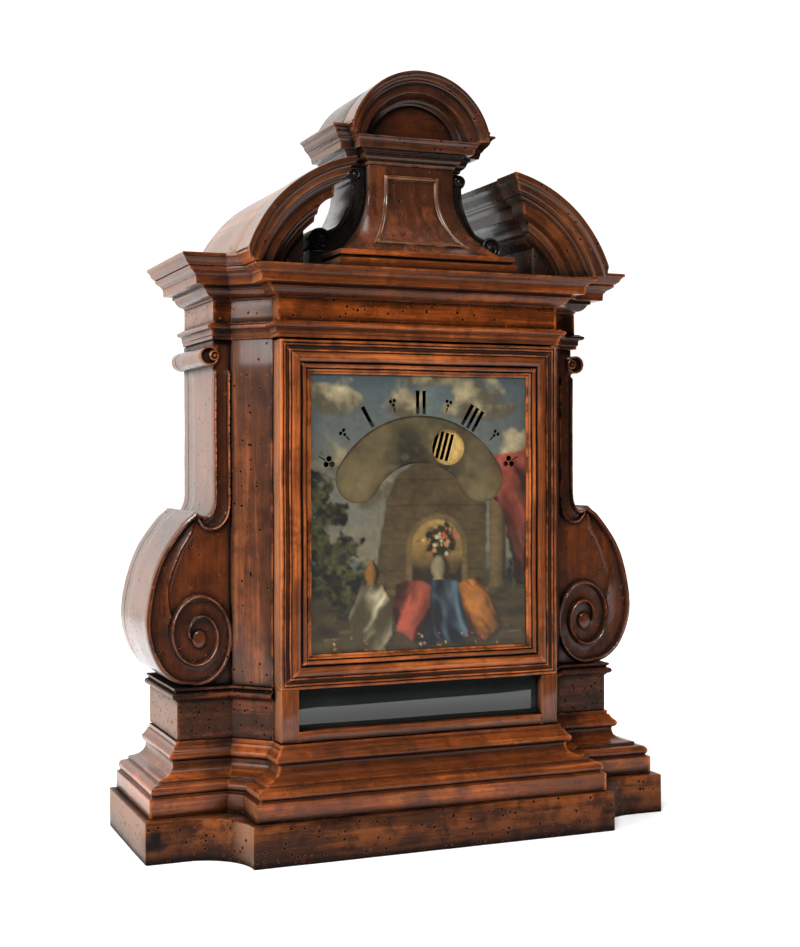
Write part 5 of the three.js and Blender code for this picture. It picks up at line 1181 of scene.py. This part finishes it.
def garden(x, z):
    """The painted picture: a cloudy sky and hills, a ruined arch, a curtain, cloths on a balustrade."""
    grain = mottle(x, z, 6, 90, 3)
    colours = between(pigment(128, 116, 88), pigment(76, 88, 92), (z - 330) / 310)
    colours = lay(colours, (mottle(x, z, 60, 5) - 0.45) * 1.6, pigment(104, 113, 108))
    for cx, cz, wide, tall, seed in ((88, 612, 66, 34, 21), (-128, 612, 46, 22, 33), (-118, 520, 44, 34, 47),
                                     (20, 640, 60, 20, 52), (150, 520, 30, 44, 61), (-60, 492, 60, 30, 71),
                                     (60, 500, 44, 24, 83), (-30, 606, 40, 26, 87)):
        body = 1 - np.hypot((x - cx) / wide, (z - cz) / tall) + 1.8 * (mottle(x, z, 30, seed) - 0.5)
        lit = mottle(x + 5, z - 9, 22, seed + 4) + (z - cz) / tall * 0.25 - 0.1
        tint = between(pigment(88, 80, 64), pigment(202, 184, 140), 1.8 * (lit - 0.26))
        colours = lay(colours, body * 2.6, tint)
    ridge = 392 + 22 * (mottle(x, 0 * x, 70, 8) - 0.5) + 8 * np.sin(x / 37)
    colours = lay(colours, (ridge - z) / 3, pigment(86, 92, 84))
    ridge = 372 + 18 * (mottle(x, 0 * x, 40, 14) - 0.5)
    colours = lay(colours, (ridge - z) / 3, pigment(58, 60, 44))
    ground = between(pigment(38, 33, 22), pigment(88, 72, 44), 1.5 * (mottle(x, z * 2.6, 30, 77) - 0.2))
    colours = lay(colours, (352 - z) / 4, ground)
    leaves = between(pigment(20, 22, 15), pigment(82, 80, 46), 2.8 * (mottle(x - 2, z - 3, 7, 103) - 0.42))
    for cx, cz, wide, tall, seed in ((-150, 410, 42, 84, 101), (-112, 362, 36, 46, 107),
                                     (160, 366, 26, 34, 109)):
        tree = 1 - np.hypot((x - cx) / wide, (z - cz) / tall) + 1.9 * (mottle(x, z, 15, seed) - 0.5)
        colours = lay(colours, tree * 4, leaves)
    rough = mottle(x, z, 18, 120) * 0.6 + mottle(x, z * 2, 7, 125) * 0.4
    stone = between(pigment(44, 36, 24), pigment(128, 106, 68), rough)
    torn = 9 * (mottle(x, z, 13, 127) - 0.5)
    wall = [(-70, 350), (98, 350), (100, 470), (94, 500), (72, 520), (40, 534), (0, 528), (-34, 506),
            (-52, 470), (-58, 430), (-64, 400)]
    colours = lay(colours, within(x + torn, z + torn, wall), stone * 0.62)
    for k in range(9):
        colours = lay(colours, (1 - np.abs(z - 372 - 18 * k)) * 0.5 * within(x, z, wall), pigment(34, 28, 19))
    door = [(-14, 350), *arc(24, 404, 38, 180, 0, 14), (62, 350)]
    rim = [(-22, 350), *arc(24, 404, 46, 180, 0, 14), (70, 350)]
    colours = lay(colours, within(x, z, rim[::-1]), stone * 1.1)
    glow = between(pigment(44, 33, 19), pigment(170, 134, 78),
                   (z - 370) / 70 + 0.8 * (mottle(x, z, 22, 129) - 0.5))
    colours = lay(colours, within(x, z, door[::-1]), glow)
    for cx, half, z0, z1 in ((118, 13, 352, 520), (118, 18, 344, 352), (118, 17, 516, 526)):
        lit = np.clip(1.05 - ((x - cx + half * 0.4) / half) ** 2 * 0.6, 0.3, 1.1)[:, None]
        colours = lay(colours, within(x, z, oblong((cx - half, cx + half), (z0, z1))), stone * lit)
    for z0, z1, shine in ((338, 346, 1.1), (300, 307, 0.8)):
        colours = lay(colours, within(x, z, oblong((-92, 104), (z0, z1)), 2), stone * shine)
    for cx in range(-84, 104, 13):
        half = 2.2 + 2.4 * np.sin(math.pi * np.clip((z - 306) / 32, 0, 1)) ** 2
        lit = np.clip(1 - ((x - cx + 1) / 4.6) ** 2 * 0.6, 0.3, 1)[:, None]
        mask = np.minimum((half - np.abs(x - cx)) / 1.2 + 0.5, np.minimum(z - 306, 340 - z))
        colours = lay(colours, mask, stone * lit)
    for k, (half, z1) in enumerate(((150, 281), (128, 291), (108, 301))):
        colours = lay(colours, within(x - 6, z, oblong((-half, half), (z1 - 10, z1)), 2),
                      stone * (0.6 - 0.1 * (k % 2)))
        colours = lay(colours, (1.6 - np.abs(z - z1)) * (np.abs(x - 6) < half) * 0.5, pigment(122, 104, 70))
    red, blue = (pigment(166, 80, 60), pigment(44, 15, 12)), (pigment(104, 124, 134), pigment(19, 25, 34))
    gold, linen = (pigment(176, 108, 46), pigment(52, 28, 11)), (pigment(222, 208, 166), pigment(70, 62, 42))
    for tints, slope, fold, seed, outline in (
            (red, 0.4, 19, 131, [(70, 540), (98, 530), (126, 534), (162, 540), (162, 440), (158, 362),
                                 (146, 350), (138, 400), (124, 456), (104, 488), (78, 506)]),
            (blue, 0.3, 19, 141, [(2, 356), (30, 362), (56, 356), (64, 316), (80, 284), (56, 268), (28, 276),
                                  (2, 262), (-16, 280), (-4, 316)]),
            (red, -0.35, 16, 151, [(-38, 354), (-6, 360), (16, 350), (12, 318), (4, 292), (-12, 276),
                                   (-34, 286), (-44, 316)]),
            (gold, 0.45, 17, 161, [(58, 354), (88, 360), (106, 330), (122, 290), (98, 270), (74, 280),
                                   (66, 318)]),
            (linen, -0.4, 17, 171, [(-90, 352), (-60, 358), (-46, 330), (-44, 284), (-62, 262), (-100, 268),
                                    (-106, 312)])):
        colours = cloth(colours, x, z, outline, *tints, slope, fold, seed)
    for cx, base, wide, tall, tint, dim in ((-74, 354, 11, 34, pigment(160, 108, 54), pigment(34, 22, 13)),
                                            (28, 358, 14, 38, pigment(160, 146, 108), pigment(44, 38, 28))):
        v = np.clip((z - base) / tall, 0, 1)
        half = 0.36 + 0.64 * np.sin(math.pi * np.clip(v * 1.14, 0, 1)) ** 0.8
        half = wide * half + wide * 0.3 * (v < 0.06)
        mask = np.minimum((half - np.abs(x - cx)) / 1.6 + 0.5,
                          np.minimum(z - base, base + tall - z) / 2 + 0.5)
        lit = 0.75 - (x - cx + 0.35 * half) ** 2 / half ** 2 * 0.8
        colours = lay(colours, mask, between(dim, tint, lit))
    bunch = 1 - np.hypot((x - 28) / 29, (z - 412) / 24) + 1.4 * (mottle(x, z, 9, 180) - 0.5)
    colours = lay(colours, bunch * 4, pigment(30, 34, 18))
    rng = np.random.default_rng(12)
    tints = [pigment(214, 192, 150), pigment(180, 76, 58), pigment(196, 138, 104), pigment(176, 120, 46)]
    spots = [(28 + rng.normal(0, 13), 412 + rng.normal(0, 10), rng.uniform(2, 4)) for _ in range(30)]
    spots += [(rng.uniform(-140, 150), rng.uniform(258, 284), rng.uniform(1.4, 3)) for _ in range(40)]
    for k, (cx, cz, r) in enumerate(spots):
        petal = (r - np.hypot(x - cx, z - cz)) / 1.1
        colours = lay(colours, petal * 0.7, tints[k % 4] * (0.6 + 0.4 * rng.random()))
    colours *= (0.8 + 0.4 * grain)[:, None]
    edge = np.clip(np.minimum(162 - np.abs(x), np.minimum(z - 262, 642 - z)) / 24, 0, 1)
    return np.clip(colours * (0.62 + 0.18 * edge)[:, None], 0, 1)


def painted(made, picture):
    """Gives each corner of a mesh its paint."""
    spots = np.array([v.co for v in made.data.vertices]) * 1000
    tints = np.column_stack([picture(spots[:, 0], spots[:, 2]), np.ones(len(spots))])
    made.data.attributes.new("paint", "FLOAT_COLOR", "POINT").data.foreach_set(
        "color", tints.astype(np.float32).ravel())
    return made


def oils(name, rough=0.34):
    """Oil paint on metal: the painter's colours, brush marks, darkened varnish, old losses."""
    made, place, shader = blank(name)
    colour = place.node("ShaderNodeAttribute", {"attribute_name": "paint"})
    brush = place.stretch(1, 1, 0.45).noise(420, 4, 0.62, 1.2)
    stain = place.noise(26, 4, 0.6)
    flake = place.noise(210, 3, 0.7)
    colour = (brush.over(0.3, 0.75) * 0.26).mix(colour, (0.02, 0.018, 0.012))
    colour = (stain.over(0.45, 0.8) * 0.3).mix(colour, (0.05, 0.04, 0.02))
    colour = (flake.over(0.73, 0.78) * 0.7).mix(colour, (0.2, 0.14, 0.08))
    plug(shader, Base_Color=colour, Roughness=stain * 0.2 + rough, Coat_Weight=0.25, Coat_Roughness=0.25,
         Normal=(brush * 0.6 + flake * 0.2).relief(0.25, 0.0004))
    return made


dial_oils = oils("dial_oils")
sheet = oblong((-182.7, 182.7), (232, 662.6))
dial = piece("painted_dial", "front_door", dial_oils,
             [thin_plate(sheet, [window, *cuts], 230.9, 232.4, 2.1)], ["dial_plate"], wave=False)
painted(dial, garden)

# Hour carrier: the copper disc that crosses behind the window once in three hours, painted as dusky
# cloud. Three round holes in it each show one hour of the small disc that hangs behind.
def dusk(x, z):
    r = np.hypot(x, z - AXIS)
    swirl = mottle(x + 0.4 * z, z - 0.3 * x, 46, 201)
    fine = mottle(x, z, 14, 205)
    colours = between(pigment(36, 32, 21), pigment(104, 90, 58), 2.1 * (swirl - 0.28))
    colours = lay(colours, (fine - 0.55) * 2, pigment(104, 88, 60))
    colours = lay(colours, (mottle(x, z, 34, 215) - 0.62) * 4, pigment(96, 64, 44))
    # Past the window's outer edge the disc is near black: painted shade, so the cut numerals look dark.
    colours = lay(colours, (r - 142) / 2, pigment(14, 12, 10))
    return colours * (0.85 + 0.3 * fine)[:, None]


thirds = [66 - 120 * k for k in range(3)]
circle = arc(0, AXIS, 151, 0, 357, 119)
apertures = [arc(*about((0, AXIS), 105, third), 25, 0, 352, 44) for third in thirds]
pivots = [about((0, AXIS), 70, third) for third in thirds]
brass, place, shader = blank("brass")
tarnish = place.noise(60, 5, 0.6)
scratch = place.stretch(1, 8, 1).noise(340, 3, 0.6)
plug(shader, Base_Color=tarnish.over(0.35, 0.7).mix((0.55, 0.36, 0.13), (0.22, 0.12, 0.045)), Metallic=1.0,
     Roughness=tarnish * 0.35 + scratch * 0.12 + 0.12, Normal=scratch.relief(0.15, 0.0002))


def turned(x, z, profile, count=24):
    """A turned part on an axis that runs forward, from (radius, forward) rows."""
    ring = np.radians(np.arange(count) * 360 / count)
    rows = [np.column_stack([x + max(r, 0.02) * np.cos(ring), np.full(count, float(f)),
                             z + max(r, 0.02) * np.sin(ring)]) for r, f in profile]
    return skin(rows, np.column_stack([np.cos(ring), np.sin(ring)]), rows)


planes = [224.6 - 4 * k for k in range(3)]
parts = [thin_plate(circle, apertures, 228.6, 229.6, 2.1)]
for pivot, at in zip(pivots, planes):
    stud = [(3.1, at - 3.2), (3.5, at - 2.9), (3.5, at - 1.5), (3.1, at - 1.2), (2, at - 1.2), (2, 228.7)]
    parts.append(turned(*pivot, stud, 16))
carrier = piece("hour_carrier_disc", "hour_carrier", oils("carrier_oils", 0.42), parts,
                ["hour_carrier"], wave=False)
painted(carrier, dusk)

# Hour discs: three thin copper discs hung behind the carrier, each with four of the twelve hours cut
# through a ground of straw-coloured paint, so that the lamp behind shows the hour in light.
def numeral(letters):
    """The strokes of a Roman hour, on the rim side of its disc."""
    width = {"I": 7.7, "V": 15, "X": 15}
    total = sum(width[letter] for letter in letters)
    left, strokes = -total / 2, []
    for letter in letters:
        x = left + width[letter] / 2
        if letter == "I":
            strokes.append(oblong((x - 2.6, x + 2.6), (-19.5, 19.5)))
        if letter == "V":
            strokes.append([(x - 1.6, -18), (x + 1.6, -18), (x + 6.6, 18), (x + 3.2, 18), (x + 0.3, -6),
                            (x - 3.2, 18), (x - 6.6, 18)])
        if letter == "X":
            strokes.append([(x - 6.4, -18), (x - 3, -18), (x, -4), (x + 3, -18), (x + 6.4, -18),
                            (x + 1.8, 0), (x + 6.4, 18), (x + 3, 18), (x, 4), (x - 3, 18), (x - 6.4, 18),
                            (x - 1.8, 0)])
        left += width[letter]
    squeeze = min(1, 31 / total)
    return [[(x * squeeze - 2.5, y) for x, y in loop] for loop in strokes]


straw, place, shader = blank("straw_paint")
brushed = place.stretch(1, 1, 0.5).noise(190, 4, 0.6, 0.8)
dark_tone = place.noise(34, 4, 0.6)
colour = brushed.over(0.3, 0.72).mix((0.36, 0.22, 0.06), (0.54, 0.36, 0.12))
colour = (dark_tone.over(0.5, 0.75) * 0.5).mix(colour, (0.3, 0.17, 0.06))
plug(shader, Base_Color=colour, Roughness=brushed * 0.2 + 0.4, Normal=brushed.relief(0.2, 0.0003))
hours = [("IIII", "VII", "X", "I"), ("VI", "IX", "XII", "III"), ("V", "VIII", "XI", "II")]
for k, ((x, z), third, at, four) in enumerate(zip(pivots, thirds, planes, hours), 1):
    slots = []
    for quarter, letters in enumerate(four):
        turn = math.radians(third - 90 + 8.5 + 90 * quarter)
        for letter in numeral(letters):
            slots.append([(x + a * math.cos(turn) - (35 + b) * math.sin(turn),
                           z + a * math.sin(turn) + (35 + b) * math.cos(turn)) for a, b in letter])
    bore = arc(x, z, 2.3, 0, 345, 23)
    piece(f"hour_plate_{k}", f"hour_disc_{k}", straw,
          [thin_plate(arc(x, z, 62, 0, 356, 89), [bore, *slots], at - 0.8, at + 0.2, 0)],
          [f"hour_disc_{k}"], wave=False)

# Movement: a short pendulum movement between two brass plates held to the door stiles. Every wheel
# is cut, crossed out and riveted to its arbor, and the centre arbor runs on to carry the hours.
def gear(at, teeth, module, depth, mate, tip, bore=0.0, rim=0.0):
    """A toothed wheel that turns a tip or a gap to its mate, crossed out from bore to rim."""
    r, gap = teeth * module / 2, 2 * math.pi / teeth
    phase = math.atan2(mate[1] - at[1], mate[0] - at[0]) + (0 if tip else gap / 2)
    tooth = [(0.05, 0.5), (0.15, 0.1), (0.2, -0.5), (0.36, -0.88)]
    outline = []
    for i in range(teeth):
        for share, out in [*mirror(tooth), *tooth]:
            a, radius = phase + (i + share) * gap, r + out * module
            outline.append((at[0] + radius * math.cos(a), at[1] + radius * math.sin(a)))
    openings = []
    for mid in (45, 135, 225, 315) if rim else ():
        outer = [(a, rim) for a in np.linspace(mid + 45 - 120 / rim, mid - 45 + 120 / rim, 12)]
        inner = [(a, bore) for a in np.linspace(mid - 45 + 150 / bore, mid + 45 - 150 / bore, 6)]
        openings.append([about(at, q, a) for a, q in outer + inner])
    return prism(outline, *depth, upright, 0.12, 0, step=6, holes=openings, steps=1)


def arbor(at, back=156):
    return turned(*at, [(0.5, back), (0.85, back + 0.2), (0.85, 159.3), (1.7, 159.5), (1.7, 200.5),
                        (0.85, 200.7), (0.85, 203.8), (0.5, 204)], 16)


def collar(at, radius, depth):
    low, high = depth
    profile = [(1.8, low), (radius, low), (radius, high - 0.4), (radius - 0.4, high), (1.8, high)]
    return turned(*at, profile, 20)


centre, barrel, anchor = (0, AXIS), (-36, 420), (8.14, 509.04)
second, third, escape = (30.07, 457.94), (25.9, 481.58), (8.14, 488.04)
sheet = [(-82, 374), (55, 374), (55, 488), (30, 516), (-20, 516), (-82, 462)]
front = [(-82, 374), (55, 374), (55, 386), (192, 386), (192, 398), (55, 398), (55, 452), (192, 452),
         (192, 464), (55, 464), (55, 488), (30, 516), (-20, 516), (-79.7, 464), (-192, 464), (-192, 452),
         (-82, 452), (-82, 398), (-192, 398), (-192, 386), (-82, 386)]
pillars = [(-75, 381), (48, 381), (48, 480), (-70, 457)]
holes = [arc(*at, 1.15, 0, 345, 23) for at in (barrel, second, third, escape, anchor)]
piece("movement_front_plate", "front_door", brass,
      [prism(front, 201, 204, upright, 0.35, 0.8, step=20, holes=[*holes, arc(*centre, 5.3, 0, 345, 23)])],
      ["front_plate"], wave=False)
posts = [turned(*at, [(3, 159.1), (3, 162.5), (2.2, 164.6), (2.2, 171), (2.7, 174), (3, 180), (2.7, 186),
                      (2.2, 189), (2.2, 195.4), (3, 197.2), (3, 200.7)]) for at in pillars]
piece("movement_back_plate", "front_door", brass,
      [prism(sheet, 156, 159, upright, 0.35, 0.8, step=20, holes=[*holes, arc(*centre, 1.15, 0, 345, 23)]),
       *posts], ["back_plate"], wave=False)
bx, bz = barrel
key = oblong((bx - 2, bx + 2), (bz - 2, bz + 2))
drum = [(4, 159.3), (4, 161.9), (33, 162), (34, 163), (34, 166.5), (33.4, 167), (33.4, 188.4), (34, 189),
        (34, 192.4), (33.4, 193), (30, 193), (29.4, 192.4), (8, 192.4), (7.4, 193), (4, 193), (4, 200.5)]
piece("spring_barrel", "barrel", brass,
      [gear(barrel, 80, 1.0, (161, 164), centre, False), turned(*barrel, drum, 72),
       turned(*barrel, [(0.85, 155.7), (0.85, 159.3), (4, 159.5), (4, 162)], 20),
       turned(*barrel, [(4, 200), (4, 200.6), (0.85, 200.7), (0.85, 204)], 20),
       prism(key, 144, 155.7, upright, 0.4, 0.3, step=6)], ["barrel"], wave=False)
piece("centre_wheel_and_pinion", "hour_carrier", brass,
      [turned(*centre, [(0.5, 156), (0.85, 156.2), (0.85, 159.3), (1.7, 159.5), (1.7, 201), (5, 201.2),
                        (5, 228.1), (4.8, 228.3)], 24), collar(centre, 6.5, (192, 196.6)),
       gear(centre, 10, 1.0, (159.8, 165.2), barrel, True),
       gear(centre, 72, 0.8, (193.5, 195.5), second, True, 8.5, 25.6)], ["centre_arbor"], wave=False)
for name, at, pinion, big in (
        ("second_wheel", second, (8, 0.8, (192, 197), centre),
         (72, 0.6, (185.7, 187.3), third, 6.5, 19.2)),
        ("third_wheel", third, (8, 0.6, (184.5, 188.5), second),
         (46, 0.7, (177.7, 179.3), escape, 5.5, 13.6))):
    piece(f"{name}_and_pinion", name, brass,
          [arbor(at), collar(at, 4.2, (big[2][0] - 1.6, big[2][1] + 0.6)),
           gear(at, *pinion, False), gear(at, *big[:4], True, *big[4:])], [name], wave=False)
ex, ez = escape
teeth = []
for i in range(30):
    for share, radius in ((0, 15), (0.1, 14.9), (0.36, 12.6), (0.5, 12), (0.68, 12.2), (0.9, 14)):
        a = 2 * math.pi * (i + share) / 30
        teeth.append((ex + radius * math.cos(a), ez + radius * math.sin(a)))
spaces = [[about(escape, q, mid + a)
           for a, q in ((34, 10.4), (12, 10.4), (-12, 10.4), (-34, 10.4), (-22, 4.6), (22, 4.6))]
          for mid in (45, 135, 225, 315)]
piece("escape_wheel_and_pinion", "escape_wheel", brass,
      [arbor(escape), collar(escape, 3.2, (169, 171.6)),
       gear(escape, 8, 0.7, (176.5, 180.5), third, False),
       prism(teeth, 169.8, 171.2, upright, 0.1, 0, step=6, holes=spaces, steps=1)],
      ["escape_wheel"], wave=False)
ax, az = anchor
claws = []
for s in (-1, 1):
    nib = [about(escape, r, 90 - 46 * s) for r in (16.9, 20.7)]
    shape = [nib[0], nib[1], (ax + s * 7, az + 1.6), (ax, az + 4), (ax, az - 1), (ax + s * 7, az - 2.4)]
    claws.append(prism(shape, 169, 172, upright, 0.3, 0.4, step=4))
blade = oblong((ax - 1, ax + 1), (az - 148, az + 2))
lens = [(0.3, 146), (5, 146.3), (9.1, 147.2), (11.8, 148.6), (12.9, 149.6), (12.9, 150.4), (11.8, 151.4),
        (9.1, 152.8), (5, 153.7), (0.3, 154)]
piece("pendulum_and_anchor", "pendulum", brass,
      [arbor(anchor, 148), *claws,
       prism(blade, 149, 151, upright, 0.25, 0.3, step=20), turned(ax, az - 150, lens, 48)],
      ["pendulum"], wave=False)

# Rear door: one poplar board, rounded along its turning edge, with a pintle at each end of that edge.
# It is left from the plane, and the smoke of the lamp has browned it.
smoked_board = walnut("smoked_board", (0.3, 0.17, 0.09), (0.17, 0.095, 0.05), (0.05, 0.028, 0.017),
                      worm=0.1, gloss=0.6, sheen=0.5, bare=True)
plan = [(190, 4.4), (190, 16.4), *arc(-184, 10.4, 6, 90, 270, 14)]
pintle = arc(-184, 10.4, 2.2, 0, 345, 23)
piece("rear_board_door", "rear_door", smoked_board,
      [prism(plan, 209, 649, in_plan, 1.1, 0.6, grain=2, step=30),
       prism(pintle, 199.6, 210, in_plan, 0.4, 0, step=9),
       prism(pintle, 648, 658.4, in_plan, 0.4, 0, step=9)], ["rear_door"])

# Lamp shelf: a thin board let in between the sides of the case, at the height where the lamp has to
# stand. It is bare wood, browned by the same smoke.
board("lamp_board", (-236.6, 236.6), (18.8, 130.6), (426.2, 438), 0, smoked_board, nodes=["lamp_shelf"])

# Lamp: a small brass oil lamp, its foot, bowl and tall burner turned in one, with a charred wick. It
# stands on the shelf, so that its flame comes behind the hour window.
def risen(profile, count=56):
    """A turned part that stands on the shelf, from (radius, height) rows."""
    ring = np.radians(np.arange(count) * 360 / count)
    rows = [np.column_stack([max(r, 0.02) * np.cos(ring), 66 + max(r, 0.02) * np.sin(ring),
                             np.full(count, 438.3 + z)]) for r, z in profile]
    return skin(rows, np.column_stack([np.cos(ring), np.sin(ring)]), rows)


lamp_profile = [
    (27.6, 0), (28.8, 0.3), (29.6, 1.6), (30.4, 3), *curve([(30, 4.2), (20, 6.2), (13, 8.6), (11, 13),
    (11.6, 16), (20, 19.4), (30, 23.6), (34.6, 28.4), (36, 33), (34.6, 37.6), (31, 42), (20, 45.4),
    (12.6, 48.4), (9.4, 52), (9, 56)], 1.6), (10.6, 57.6), (10.8, 59.4), (9.6, 60.6), (5.4, 61.6),
    (4.8, 63), (4, 73), (3.9, 74), (2.6, 74.2),
]
piece("oil_lamp", "case", brass, [risen(lamp_profile)], ["lamp"], wave=False)
char, place, shader = blank("charred_wick")
thread = place.stretch(900, 900, 300).noise(1, 3)
plug(shader, Base_Color=thread.mix((0.02, 0.018, 0.016), (0.16, 0.12, 0.08)), Roughness=0.95,
     Normal=thread.relief(0.6, 0.0004))
wick = risen([(2.3, 74.4), (2.5, 76), (2.3, 78), (1.6, 79.4), (0.4, 79.9)], 14)
piece("lamp_wick", "case", char, [wick], wave=False)
